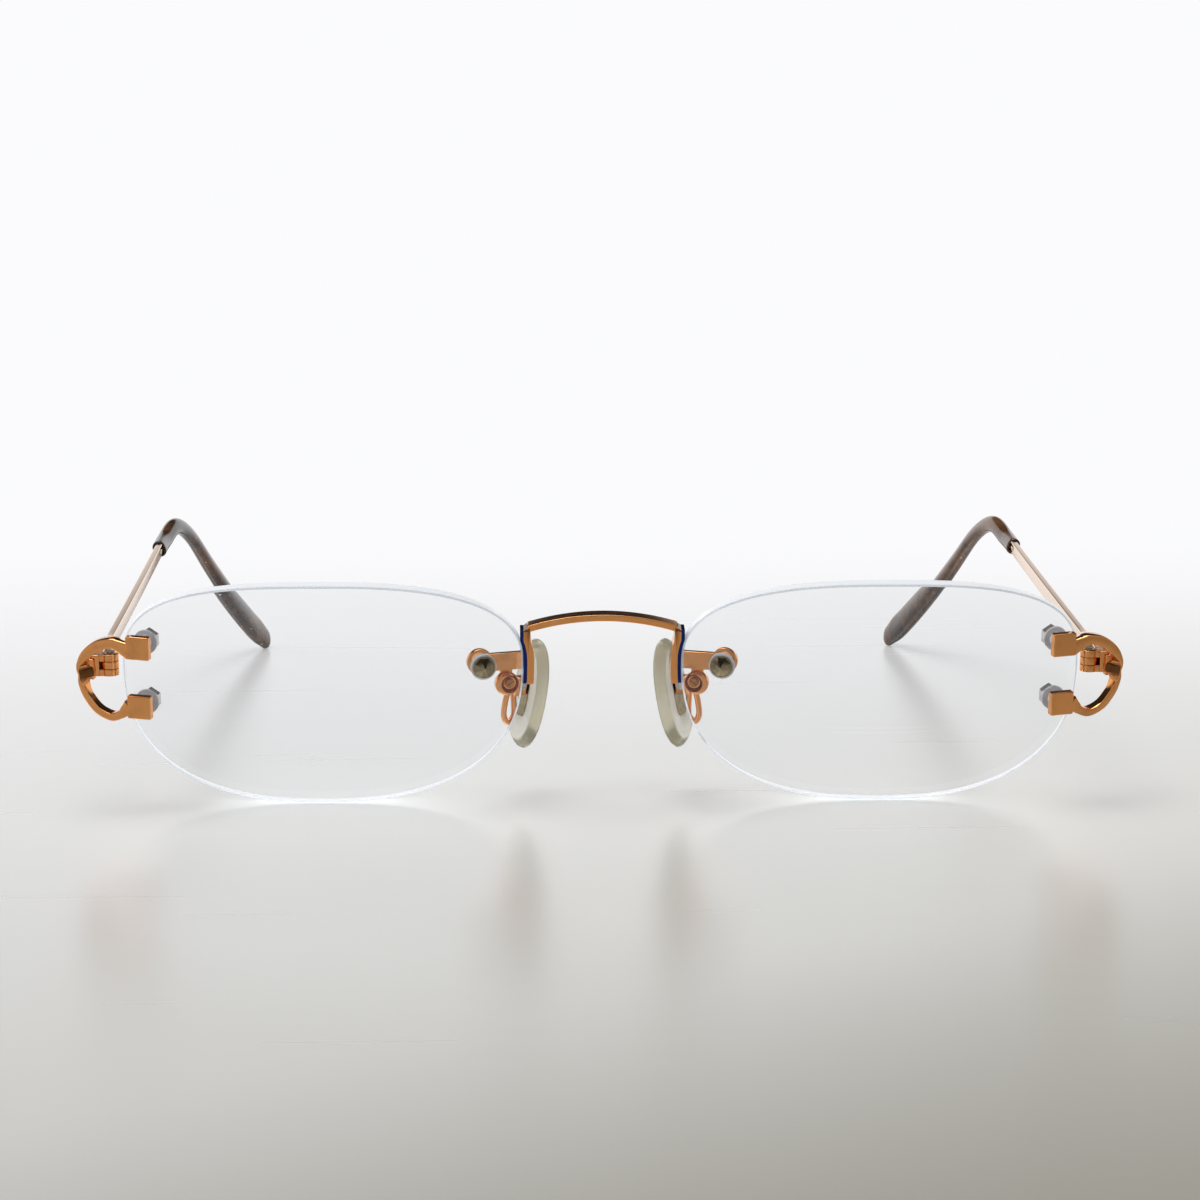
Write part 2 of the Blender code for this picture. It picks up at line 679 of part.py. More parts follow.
def make_front_leaf():
    """The plate brazed behind the fork, its block and the upper and lower knuckles."""
    top = HINGE_HEIGHT / 2
    inner = KNUCKLE_HEIGHT / 2 + KNUCKLE_GAP
    block = box(
        (HINGE_BLOCK_INNER, -KNUCKLE_RADIUS, -top),
        (HINGE_BLOCK_OUTER, HINGE_BLOCK_REAR, top),
        EASED_EDGE,
    )
    joins = []
    for low, high in ((inner, top), (-top, -inner)):
        joins.append(knuckle(low, high))
        reach = HINGE_BLOCK_INNER + EASED_EDGE + OVERLAP
        joins.append(box((0, -KNUCKLE_WEB_FRONT, low), (reach, KNUCKLE_WEB_REAR, high)))
    rear = FORK_REAR + SEAT
    base = box(
        (HINGE_PLATE_INNER, rear, -HINGE_PLATE_BOTTOM),
        (HINGE_PLATE_OUTER, rear + HINGE_PLATE_THICKNESS, HINGE_PLATE_TOP),
        EASED_EDGE,
    )
    joins.append(placed(base, HINGE_FRAME.inverted() @ FRONT_TILT @ STUD_FRAME))
    return combined(block, joins=joins, cuts=[screw_hole()])


def make_hinge_screw():
    """A slotted screw whose head stands on the upper knuckle."""
    top = HINGE_HEIGHT / 2 + SEAT
    end = top + HINGE_HEAD_HEIGHT
    shaft = rod(HINGE_SCREW_RADIUS, -top - OVERLAP, top + OVERLAP, "Z", SMALL_ROUND)
    head = rod(HINGE_HEAD_RADIUS, top, end, "Z", SMALL_ROUND, HINGE_HEAD_RADIUS - HINGE_HEAD_TAPER)
    slot = box((-CUT_MARGIN, -SLOT_WIDTH / 2, end - SLOT_DEPTH), (CUT_MARGIN, SLOT_WIDTH / 2, end + CUT_MARGIN))
    return combined(head, joins=[shaft], cuts=[slot])


def make_temple_leaf():
    """The middle knuckle and the tongue that is riveted to the temple's inner face."""
    half = KNUCKLE_HEIGHT / 2
    outer = TEMPLE_INNER - SEAT
    inner = outer - TEMPLE_LEAF_THICKNESS
    start = KNUCKLE_RADIUS + 2 * RUNNING
    tongue = box(
        (inner, start, -TEMPLE_LEAF_HEIGHT / 2),
        (outer, start + TEMPLE_LEAF_LENGTH, TEMPLE_LEAF_HEIGHT / 2),
        EASED_EDGE,
    )
    web = box((inner - TEMPLE_WEB_INSET, 0, -half), (outer, start + TEMPLE_WEB_OVERLAP, half))
    return combined(tongue, joins=[knuckle(-half, half), web], cuts=[screw_hole()])


def rounded_rectangle(half_width, half_height, rounding):
    """Points of a rectangle with its corners cut, anticlockwise."""
    a, b, r = half_width, half_height, min(rounding, half_width * 0.9)
    return [(a, r - b), (a, b - r), (a - r, b), (r - a, b), (-a, b - r), (-a, r - b), (r - a, -b), (a - r, -b)]


def make_temple():
    """The butt, the tapering bar with its slight outward bow, and the tang for the ear tip."""
    slim = BUTT_END + BUTT_TAPER
    stations = [(BUTT_START, BUTT_THICKNESS, BUTT_HEIGHT), (BUTT_END, BUTT_THICKNESS, BUTT_HEIGHT)]
    for i in range(BAR_STEPS + 1):
        share = i / BAR_STEPS
        stations.append(
            (
                slim + (TEMPLE_LENGTH - slim) * share,
                BAR_THICKNESS + (BAR_END_THICKNESS - BAR_THICKNESS) * share,
                BAR_HEIGHT + (BAR_END_HEIGHT - BAR_HEIGHT) * share,
            )
        )
    rings = []
    for y, thickness, height in stations:
        centre = TEMPLE_INNER + thickness / 2 + bow_at(y)
        section = rounded_rectangle(thickness / 2, height / 2, BAR_ROUNDING)
        rings.append([(centre + x, y, z) for x, z in section])
    tang = rod(TANG_RADIUS, TEMPLE_LENGTH - TANG_ROOT, TEMPLE_LENGTH + TANG_LENGTH, "Y", SMALL_ROUND)
    return combined(loft(rings), joins=[moved(tang, (tip_x(), 0, 0))])


def bow_at(y):
    """How far the temple bows outward, nothing at the butt and greatest near the ear tip."""
    share = max(0.0, (y - BUTT_END) / (TEMPLE_LENGTH - BUTT_END))
    return TEMPLE_BOW * math.sin(share * 90 * DEG)


def tip_x():
    return TEMPLE_INNER + BAR_END_THICKNESS / 2 + bow_at(TEMPLE_LENGTH)


def make_ear_tip():
    """The bent plastic tip, a loft of ovals that widens into a paddle, bored for the tang."""
    row = smooth_row(TIP_LINE, TIP_STEPS)
    origin = Vector((tip_x(), TEMPLE_LENGTH + SEAT, 0))
    leaning = Vector((math.sin(TIP_LEAN), 0, math.cos(TIP_LEAN)))
    rings = []
    for i, here in enumerate(row):
        before, after = row[max(i - 1, 0)], row[min(i + 1, len(row) - 1)]
        along = Vector(after[:3]) - Vector(before[:3])
        across = along.cross(leaning).normalized()
        upward = across.cross(along).normalized()
        centre = origin + Vector(here[:3]) * MM
        rings.append(
            [
                centre + across * x + upward * z
                for x, z in oval(here[3] * MM, here[4] * MM, TIP_POWER, TIP_SEGMENTS)
            ]
        )
    end = origin + Vector(row[-1][:3]) * MM
    direction = (Vector(row[-1][:3]) - Vector(row[-2][:3])).normalized()
    for share in TIP_END_SHARES:
        shrink = math.sqrt(1 - share**2)
        rings.append(
            [end + direction * TIP_END_ROUNDING * share + (p - end) * shrink for p in rings[len(row) - 1]]
        )
    solid = loft(rings, close_end=end + direction * TIP_END_ROUNDING)
    bore_end = TEMPLE_LENGTH + TANG_LENGTH + TANG_CLEARANCE
    bore = rod(TANG_RADIUS + RUNNING, TEMPLE_LENGTH - CUT_MARGIN, bore_end, "Y", SMALL_ROUND)
    return combined(solid, cuts=[moved(bore, (tip_x(), 0, 0))])


# Bridge


def make_strap():
    """The strap along the lens's nasal edge, with the arm and eyelet that hold the lens."""
    step = (STRAP_TOP_Z - STRAP_BOTTOM_Z) / STRAP_STEPS
    heights = [STRAP_BOTTOM_Z + step * i for i in range(STRAP_STEPS + 1)]
    widest = NASAL_EDGE_X + STRAP_LENS_SIDE
    lens_side = [(min(LENS_X + nasal_edge_x(z) - LENS_SEAT, widest), z) for z in heights]
    nose_side = [(STRAP_NOSE_X, STRAP_TOP_Z + STRAP_MITRE), (STRAP_NOSE_X, STRAP_BOTTOM_Z)]
    band = plate(lens_side + nose_side, STRAP_FRONT_Y, STRAP_REAR_Y, BRIDGE_ROUNDING)
    near = NASAL_REAR
    far = near + ARM_THICKNESS
    middle = Vector(((STRAP_NOSE_X + lens_side[0][0]) / 2, STRAP_REAR_Y, NASAL_HOLE_Z))
    reach = (NASAL_FRAME.inverted() @ middle).x
    arm = box(
        (reach, near, -ARM_DROP - ARM_HEIGHT / 2), (0, far, -ARM_DROP + ARM_HEIGHT / 2), EASED_EDGE
    )
    eyelet = rod(EYELET_RADIUS, near, far, "Y")
    hole = rod(STUD_RADIUS + RUNNING, near - CUT_MARGIN, far + CUT_MARGIN, "Y", SMALL_ROUND)
    held = combined(arm, joins=[eyelet], cuts=[hole])
    return combined(band, joins=[placed(held, NASAL_FRAME)])


def make_bridge_bar():
    """A flat bar arched between the tops of the two straps, with its ends cut square to them."""
    middle_z = STRAP_TOP_Z + STRAP_MITRE - BRIDGE_THICKNESS / 2
    half = STRAP_NOSE_X - SEAT
    radius = (half**2 + BRIDGE_RISE**2) / (2 * BRIDGE_RISE)
    sweep = math.asin(half / radius)
    upper, lower = [], []
    for i in range(BRIDGE_SEGMENTS + 1):
        angle = sweep * (2 * i / BRIDGE_SEGMENTS - 1)
        x = radius * math.sin(angle)
        z = middle_z + BRIDGE_RISE - radius * (1 - math.cos(angle))
        upper.append((x, z + BRIDGE_THICKNESS / 2))
        lower.append((x, z - BRIDGE_THICKNESS / 2))
    return plate(upper + lower[::-1], STRAP_FRONT_Y, STRAP_FRONT_Y + BRIDGE_DEPTH, BRIDGE_ROUNDING)


def make_nasal_bush():
    """The clear sleeve in the nasal hole, with its flange under the screw's head."""
    flange = BUSH_FLANGE_THICKNESS
    inner = STUD_RADIUS + RUNNING
    outer = LENS_HOLE_RADIUS - RUNNING
    profile = [
        (BUSH_FLANGE_RADIUS, -LENS_SEAT),
        (BUSH_FLANGE_RADIUS, -LENS_SEAT - flange),
        (inner, -LENS_SEAT - flange),
        (inner, NASAL_REAR - LENS_SEAT),
        (outer, NASAL_REAR - LENS_SEAT),
        (outer, -LENS_SEAT),
        (BUSH_FLANGE_RADIUS, -LENS_SEAT),
    ]
    return turned(profile, ROUND, "Y")


def make_nasal_screw():
    """A screw whose round head rises in facets to a low point."""
    seat = -LENS_SEAT - BUSH_FLANGE_THICKNESS - SEAT
    end = NASAL_REAR + ARM_THICKNESS + SCREW_END
    rim = rod(SCREW_HEAD_RADIUS, seat - SCREW_RIM, seat, "Y", SCREW_FACETS * 3)
    point = rod(
        SCREW_TIP_RADIUS, seat - SCREW_RIM - SCREW_POINT, seat - SCREW_RIM + OVERLAP, "Y", SCREW_FACETS,
        end_radius=SCREW_HEAD_RADIUS,
    )
    shaft = rod(STUD_RADIUS, seat - OVERLAP, end, "Y", SMALL_ROUND)
    return combined(rim, joins=[point, shaft])


# Nose pads


def make_pad_arm():
    """The boss and its tab behind the bridge arm, the U of wire and the clevis for the pad."""
    rear = NASAL_REAR + ARM_THICKNESS + SEAT
    front = rear + TAB_THICKNESS - BOSS_THICKNESS
    boss = moved(rod(BOSS_RADIUS, front, rear + TAB_THICKNESS, "Y"), (BOSS_X, 0, BOSS_Z))
    tab = box(
        (BOSS_X - TAB_WIDTH / 2, rear, BOSS_Z),
        (BOSS_X + TAB_WIDTH / 2, rear + TAB_THICKNESS, -ARM_DROP + ARM_HEIGHT / 4),
    )
    screw_x = BOSS_X + BOSS_SCREW_OFFSET
    recess = moved(rod(RECESS_RADIUS, front - CUT_MARGIN, front + RECESS_DEPTH, "Y"), (screw_x, 0, BOSS_Z))
    bore = moved(
        rod(HINGE_SCREW_RADIUS + SEAT, front, rear + TAB_THICKNESS + CUT_MARGIN, "Y", SMALL_ROUND),
        (screw_x, 0, BOSS_Z),
    )
    head = placed(combined(boss, joins=[tab], cuts=[recess, bore]), NASAL_FRAME)
    clevis_end = PAD_FRAME @ Vector((CLEVIS_DEPTH / 2, 0, -CLEVIS_LENGTH / 2 + WIRE_RADIUS))
    root = NASAL_FRAME @ (Vector((BOSS_X, rear, BOSS_Z)) + Vector(WIRE_ROOT) * MM)
    edge = Vector((NASAL_EDGE_X, NASAL_DEPTH, 0))
    points = [root, *(edge + Vector(p) * MM for p in WIRE_BEND), clevis_end]
    bent = wire(smooth_row(points, WIRE_STEPS), WIRE_RADIUS)
    return combined(bent, joins=[head, placed(make_clevis(), PAD_FRAME)])


def make_clevis():
    """A channel open toward the pad, with two cheeks that carry the pin."""
    half_length, half_width = CLEVIS_LENGTH / 2, CLEVIS_WIDTH / 2
    body = box(
        (-CLEVIS_FRONT, -half_width, -half_length),
        (CLEVIS_DEPTH - CLEVIS_FRONT, half_width, half_length),
        EASED_EDGE,
    )
    inner = half_width - CLEVIS_WALL
    floor = CLEVIS_DEPTH - CLEVIS_FRONT - CLEVIS_WALL
    slot = box((-CUT_THROUGH, -inner, -CUT_THROUGH), (floor, inner, CUT_THROUGH))
    return combined(body, cuts=[slot, pin_hole()])


def pin_hole():
    return rod(PIN_RADIUS + RUNNING, -CUT_THROUGH, CUT_THROUGH, "Y", SMALL_ROUND)


def make_boss_screw():
    """The small screw sunk in the boss's front face."""
    rear = NASAL_REAR + ARM_THICKNESS + SEAT
    floor = rear + TAB_THICKNESS - BOSS_THICKNESS + RECESS_DEPTH
    face = floor - SEAT - BOSS_SCREW_HEAD
    head = rod(BOSS_SCREW_RADIUS, face, floor - SEAT, "Y", SMALL_ROUND)
    shaft = rod(HINGE_SCREW_RADIUS - SEAT, floor - OVERLAP, rear + TAB_THICKNESS, "Y", SMALL_ROUND)
    slot = box((-CUT_MARGIN, face - CUT_MARGIN, -SLOT_WIDTH / 2), (CUT_MARGIN, face + SLOT_DEPTH, SLOT_WIDTH / 2))
    screw = combined(head, joins=[shaft], cuts=[slot])
    return placed(screw, Matrix.Translation((BOSS_X + BOSS_SCREW_OFFSET, 0, BOSS_Z)))


def make_pad():
    """A silicone oval with a domed face toward the nose, and a pocket in its back for the core."""
    outline = oval(PAD_WIDTH / 2, PAD_LENGTH / 2, PAD_POWER, PAD_SEGMENTS)
    rings = []
    for depth, share in PAD_LAYERS:
        x = -PAD_BACK - depth * PAD_THICKNESS
        rings.append([(x, y * share, z * share - PAD_DROP) for y, z in outline])
    domed = loft(rings, close_end=(-PAD_BACK - PAD_THICKNESS, 0, -PAD_DROP))
    width, length = CORE_WIDTH + 2 * RUNNING, CORE_LENGTH + 2 * RUNNING
    pocket = plate_across(width, length, CORE_THICKNESS + RUNNING, CUT_MARGIN)
    return combined(domed, cuts=[pocket])


def plate_across(width, length, deep, proud):
    """A rounded plate in the pad's back: so deep into it, and so far out of it."""
    outline = oval(width / 2, length / 2, CORE_POWER, ROUND)
    rings = [[(x, y, z) for y, z in outline] for x in (-PAD_BACK - deep, -PAD_BACK + proud)]
    return loft(rings)


def make_pad_core():
    """The metal core in the pad's back, with the stem that the pin goes through."""
    core = plate_across(CORE_WIDTH, CORE_LENGTH, CORE_THICKNESS, 0)
    reach = CLEVIS_DEPTH - CLEVIS_FRONT - CLEVIS_WALL - STEM_CLEARANCE
    stem = box(
        (-PAD_BACK - CORE_THICKNESS / 2, -STEM_WIDTH / 2, -STEM_LENGTH / 2),
        (reach, STEM_WIDTH / 2, STEM_LENGTH / 2),
    )
    return combined(core, joins=[stem], cuts=[pin_hole()])


def make_pad_pin():
    """The pin screw through the clevis's cheeks and the stem."""
    half = CLEVIS_WIDTH / 2
    shaft = rod(PIN_RADIUS, -half - SEAT - OVERLAP, half + PIN_END, "Y", SMALL_ROUND)
    head = rod(PIN_HEAD_RADIUS, -half - SEAT - PIN_HEAD_HEIGHT, -half - SEAT, "Y", SMALL_ROUND)
    return combined(head, joins=[shaft])


# Seating on a table


def world_points(obj):
    return [obj.matrix_world @ v.co for v in obj.data.vertices]


def seat_on_table(root):
    """Tilts the glasses until lens bottoms and ear tips stand level, then centres them over the origin."""
    bpy.context.view_layer.update()
    front = world_points(bpy.data.objects["left_lens"])
    rear = world_points(bpy.data.objects["left_ear_tip"])
    low, high = 0.0, 30 * DEG
    for _ in range(40):
        tilt = (low + high) / 2
        sin, cos = math.sin(tilt), math.cos(tilt)
        front_low = min(p.y * sin + p.z * cos for p in front)
        rear_low = min(p.y * sin + p.z * cos for p in rear)
        if rear_low > front_low:
            high = tilt
        else:
            low = tilt
    root.rotation_euler.x = tilt
    bpy.context.view_layer.update()
    points = [p for obj in parts.objects if obj.type == "MESH" for p in world_points(obj)]
    middle_y = (min(p.y for p in points) + max(p.y for p in points)) / 2
    root.location = (0, -middle_y, -min(p.z for p in points))
    bpy.context.view_layer.update()


def frame_empties(side, root):
    """The empties that place one side's pieces. The moving ones stand on their joints' axes."""
    half = empty(f"{side}_half", root, mirrored=side == "right")
    front = empty(f"{side}_front", half, FRONT_TILT)
    fork = empty(f"{side}_fork_seat", front, STUD_FRAME)
    return {
        "front": front,
        "fork": fork,
        "upper_stud": empty(f"{side}_upper_stud", fork, Matrix.Translation((0, 0, STUD_Z))),
        "lower_stud": empty(f"{side}_lower_stud", fork, Matrix.Translation((0, 0, -STUD_Z))),
        "nasal": empty(f"{side}_nasal_axis", front, NASAL_FRAME),
        "hinge": empty(f"{side}_hinge_axis", half, HINGE_FRAME),
        "pad": empty(f"{side}_pad_axis", front, PAD_FRAME),
    }


def build_glasses():
    root = empty("glasses")
    frames = {side: frame_empties(side, root) for side in ("left", "right")}
    pieces = [
        ("lens", make_lens(), LENS_GLASS, "front"),
        ("endpiece_fork", make_fork(), COPPER, "fork"),
        ("upper_stud_bush", make_stud_bush(), NYLON, "upper_stud"),
        ("lower_stud_bush", make_stud_bush(), NYLON, "lower_stud"),
        ("upper_stud_washer", make_stud_washer(), STEEL, "upper_stud"),
        ("lower_stud_washer", make_stud_washer(), STEEL, "lower_stud"),
        ("upper_stud_nut", make_stud_nut(), STEEL, "upper_stud"),
        ("lower_stud_nut", make_stud_nut(), STEEL, "lower_stud"),
        ("front_hinge_leaf", make_front_leaf(), COPPER, "hinge"),
        ("hinge_screw", make_hinge_screw(), BRONZE, "hinge"),
        ("temple_hinge_leaf", make_temple_leaf(), COPPER, "hinge"),
        ("temple", make_temple(), COPPER, "hinge"),
        ("ear_tip", make_ear_tip(), ACETATE, "hinge"),
        ("bridge_strap", make_strap(), COPPER, "front"),
        ("nasal_bush", make_nasal_bush(), NYLON, "nasal"),
        ("nasal_screw", make_nasal_screw(), BRONZE, "nasal"),
        ("pad_arm", make_pad_arm(), COPPER, "front"),
        ("pad_arm_screw", make_boss_screw(), COPPER, "nasal"),
        ("nose_pad", make_pad(), SILICONE, "pad"),
        ("pad_core", make_pad_core(), BRONZE, "pad"),
        ("pad_pin", make_pad_pin(), STEEL, "pad"),
    ]
    for name, mesh, finish, frame in pieces:
        both_sides(name, mesh, finish, frames["left"][frame], frames["right"][frame])
    bar = make_bridge_bar()
    bar.name = "bridge_bar"
    bar.materials.append(material(*COPPER))
    bridge = bpy.data.objects.new("bridge_bar", bar)
    parts.objects.link(bridge)
    bridge.parent = empty("bridge_frame", root, FRONT_TILT)
    seat_on_table(root)


clear_scene()
parts = new_collection("reading_glasses")
cutters = new_collection("cutters", hidden=True)
build_glasses()
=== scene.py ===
"""Looks of the rimless reading glasses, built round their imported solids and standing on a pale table.

The glasses face -Y, the wearer's left side is at +X, and everything is in metres. Pieces are made for the
left side in the frame of the thing that carries them, and mirrored to the right.
"""

import json
import math

import bmesh
import bpy
from bpy.props import FloatProperty, FloatVectorProperty, PointerProperty
from mathutils import Euler, Matrix, Vector


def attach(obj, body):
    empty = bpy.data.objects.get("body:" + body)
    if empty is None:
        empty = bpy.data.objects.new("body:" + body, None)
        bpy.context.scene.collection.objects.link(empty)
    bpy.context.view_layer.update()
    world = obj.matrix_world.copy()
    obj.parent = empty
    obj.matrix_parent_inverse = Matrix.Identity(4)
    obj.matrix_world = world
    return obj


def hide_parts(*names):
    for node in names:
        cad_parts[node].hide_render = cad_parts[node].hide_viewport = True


bl_info = {
    "name": "Rimless reading glasses",
    "version": (1, 0, 0),
    "blender": (4, 5, 0),
    "location": "3D View > Sidebar > Glasses",
    "description": "Adds drilled lenses, forked endpieces, a bridge, temples, nose pads and a studio table",
    "category": "Add Mesh",
}

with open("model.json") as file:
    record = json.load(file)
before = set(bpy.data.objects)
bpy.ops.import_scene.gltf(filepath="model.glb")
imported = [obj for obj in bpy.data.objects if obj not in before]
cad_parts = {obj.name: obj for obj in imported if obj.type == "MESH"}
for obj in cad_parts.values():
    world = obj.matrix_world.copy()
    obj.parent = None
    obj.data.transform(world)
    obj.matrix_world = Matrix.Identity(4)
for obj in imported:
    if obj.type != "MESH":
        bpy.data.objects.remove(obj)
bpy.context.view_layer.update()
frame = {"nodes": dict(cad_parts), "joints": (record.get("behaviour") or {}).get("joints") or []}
JOINTS = {joint["name"]: joint for joint in frame["joints"]}

MM = 0.001
MIRROR = Matrix.Scale(-1, 4, (1, 0, 0))
Z_TO_Y = Matrix.Rotation(math.radians(90), 4, "X")

# Fits and places that are repeated from the solids
SEAT = 0.02 * MM
LENS_SEAT = 0.06 * MM
BORE_GAP = 0.04 * MM
HINGE_IN_GLASSES = Vector((63.6, 7.0, 2.8)) * MM
FRONT_LEAN = 3
PAD_SPLAY, PAD_TURN = -11.5, -32
STUD_FROM_EDGE = 2.3 * MM
STUD_HEIGHT = 2.0 * MM
NASAL_FROM_EDGE = 5.15 * MM
NASAL_HEIGHT = 3.35 * MM
STUD_SEAT = 2.432 * MM
NASAL_SEAT = 2.418 * MM
STUD_RADIUS = 0.6 * MM
FLANGE_RADIUS = 1.6 * MM
FLANGE_THICKNESS = 0.4 * MM
WASHER_RADIUS = 1.5 * MM
WASHER_THICKNESS = 0.35 * MM
NUT_HEIGHT = 1.1 * MM
ARM_THICKNESS = 0.8 * MM
BOSS_X, BOSS_Z = -3.6 * MM, -3.3 * MM
TEMPLE_FACE = 0.9 * MM
TEMPLE_BOW = 0.3 * MM
BAR_ABOVE_STRAP = 0.35 * MM
SCREW_SHIFT = -0.4 * MM

# Points round the rim of each lens
LENS_SIDES = 288

# Centre line of the fork from lug to lug: (outward, up, face height, slope of the inner face), in millimetres
FORK_LINE = [
    (1.2, 3.45, 2.1, 0.0),
    (1.9, 3.75, 1.8, 0.0),
    (2.7, 4.1, 1.45, 0.0),
    (3.8, 4.35, 1.3, 0.0),
    (5.6, 3.8, 1.4, 0.0),
    (7.1, 2.6, 1.3, 0.0),
    (8.05, 1.3, 0.7, 0.4),
    (8.25, 0.5, 0.3, 1.1),
    (8.1, -0.2, 0.16, 1.5),
    (8.1, -0.9, 0.28, 1.1),
    (7.85, -1.7, 0.6, 0.45),
    (7.1, -3.1, 0.9, 0.0),
    (5.75, -4.75, 0.95, 0.0),
    (3.9, -5.55, 1.0, 0.0),
    (2.6, -5.1, 1.15, 0.0),
    (1.9, -4.55, 1.6, 0.0),
    (1.3, -4.1, 2.2, 0.0),
]
# Centre line of the ear tip behind the temple bar: (sideways, back, up, half thickness, half height),
# in millimetres
TIP_LINE = [
    (0.0, 0.0, 0.0, 0.95, 1.2),
    (-0.1, 6.5, 0.0, 0.98, 1.25),
    (-0.95, 14.5, 0.5, 0.95, 1.3),
    (-2.4, 22.0, -2.6, 1.0, 1.45),
    (-4.7, 29.2, -9.2, 1.1, 1.75),
    (-7.8, 35.8, -16.6, 1.2, 2.15),
    (-11.1, 41.3, -22.9, 1.15, 2.4),
    (-13.1, 44.0, -26.0, 0.85, 1.8),
]
# The nose pad from its back to its domed face: (share of the thickness, share of the outline)
PAD_LAYERS = [
    (0.0, 0.8),
    (0.03, 0.84),
    (0.18, 0.91),
    (0.38, 0.98),
    (0.54, 1.0),
    (0.7, 0.94),
    (0.86, 0.76),
    (0.97, 0.45),
]


# Sizes and colours that a user may change


def length(name, description, millimetres):
    default = millimetres * MM
    return FloatProperty(name=name, description=description, default=default, unit="LENGTH", precision=5)


def colour(name, description, default):
    return FloatVectorProperty(
        name=name, description=description, default=default, subtype="COLOR", min=0, max=1
    )


def share(name, description, default):
    return FloatProperty(name=name, description=description, default=default, min=0, max=1, subtype="FACTOR")


def watts(name, description, default):
    return FloatProperty(name=name, description=description, default=default, min=0, unit="POWER")


class LensSizes(bpy.types.PropertyGroup):
    width: length("Width", "Width of each lens", 51.3)
    top: length("Top", "Height of the lens above its optical centre", 14.35)
    bottom: length("Bottom", "Height of the lens below its optical centre", 14.7)
    widest: length("Widest height", "Height above the centre at which the lens is widest", 3.4)
    gap: length("Gap", "Distance between the two lenses", 20.4)
    front_radius: length("Front radius", "Radius of the convex front face", 88.0)
    back_radius: length("Back radius", "Radius of the hollow back face", 111.0)
    thickness: length("Centre thickness", "Thickness of the lens at its centre", 2.8)
    edge_bevel: length("Edge bevel", "Width of the small polished bevel round the rim", 0.22)
    hole_radius: length("Hole radius", "Radius of the holes drilled for the hardware", 0.95)


class EndpieceSizes(bpy.types.PropertyGroup):
    spacing: length("Lug spacing", "Distance between the two lugs on a lens", 7.92)
    lug_width: length("Lug width", "Width of a lug", 3.1)
    lug_height: length("Lug height", "Height of a lug", 3.05)
    front: length("Front", "How far the legs stand before the lens", 1.1)
    rear: length("Rear", "How far the legs reach behind the lens face, outside the lens", 0.5)
    easing: length("Easing", "Rounding of the legs' edges", 0.16)


class BridgeSizes(bpy.types.PropertyGroup):
    strap_top: length("Strap top", "Height of the straps' upper ends", 8.0)
    strap_bottom: length("Strap bottom", "Height of the straps' lower ends", 0.6)
    strap_reach: length("Strap reach", "How far the straps stand from the lens edge toward the nose", 1.1)
    rise: length("Rise", "How far the bridge bar arches", 1.5)
    thickness: length("Thickness", "Height of the bridge bar's face", 0.85)
    depth: length("Depth", "Depth of the bridge bar", 2.2)
    arm_height: length("Arm height", "Height of the arms to the nasal screws", 2.3)


class PadSizes(bpy.types.PropertyGroup):
    length: length("Length", "Length of a nose pad", 14.6)
    width: length("Width", "Width of a nose pad", 7.2)
    thickness: length("Thickness", "Thickness of a nose pad", 2.3)
    drop: length("Drop", "How far the pad hangs below its pin", 1.2)
    back: length("Back", "Distance from the pin to the pad's back", 0.95)
    wire_radius: length("Wire radius", "Radius of the bent pad wire", 0.39)


class TempleSizes(bpy.types.PropertyGroup):
    length: length("Length", "From the hinge to the ear tip's front end", 69.5)
    butt_length: length("Butt length", "Length of the thicker front block", 6.5)
    butt_height: length("Butt height", "Height of the front block", 3.0)
    butt_thickness: length("Butt thickness", "Thickness of the front block", 1.5)
    bar_height: length("Bar height", "Height of the slim bar", 2.0)
    bar_thickness: length("Bar thickness", "Thickness of the slim bar", 1.0)


class Finishes(bpy.types.PropertyGroup):
    metal: colour("Metal", "Plated bridge, forks, arms and temples", (0.84, 0.37, 0.128))
    worn_metal: colour("Worn metal", "Paler metal where the plating has thinned", (0.92, 0.51, 0.22))
    # Painted sheen: the temple bars are painted paler in place of their bright reflection
    painted_sheen_tone: colour("Pale metal", "Champagne plating of the temples", (0.95, 0.76, 0.6))
    # Painted reflection: dark blue along the straps' rebates beside the lens
    blueing: colour("Blueing", "Blued rebate of the straps along the lens", (0.012, 0.03, 0.16))
    # Painted shade: brown darkening of the fork valleys, the straps' upper ends and the sunk boss screws
    painted_shade: colour("Patina", "Brown patina in the hollows of the metal", (0.06, 0.018, 0.006))
    screw: colour("Screws", "Browned facets of the nasal screws", (0.34, 0.28, 0.18))
    steel: colour("Steel", "Washers, nuts and pins", (0.68, 0.67, 0.68))
    lens: colour("Lens", "Clear lens material", (0.985, 0.992, 1.0))
    lens_edge: colour("Lens edge", "Ground rim of the lenses", (0.92, 0.955, 1.0))
    # Painted glow on the lens rims: bluish along the front edge, white behind it
    painted_rim_glow: colour("Lens glow", "Light along the front edge of the lens rims", (0.62, 0.78, 1.0))
    pad_back: colour("Pad back", "Clear silicone on the back of the nose pads", (1.0, 1.0, 0.98))
    pad: colour("Pad", "Aged silicone round the nose pads", (0.88, 0.84, 0.64))
    tip_dark: colour("Tip, dark", "Dark clouds in the ear tips", (0.022, 0.012, 0.008))
    tip_light: colour("Tip, light", "Lighter clouds in the ear tips", (0.17, 0.075, 0.03))
    sleeve: colour("Sleeves", "Clear nylon sleeves in the lens holes", (0.93, 0.95, 0.97))


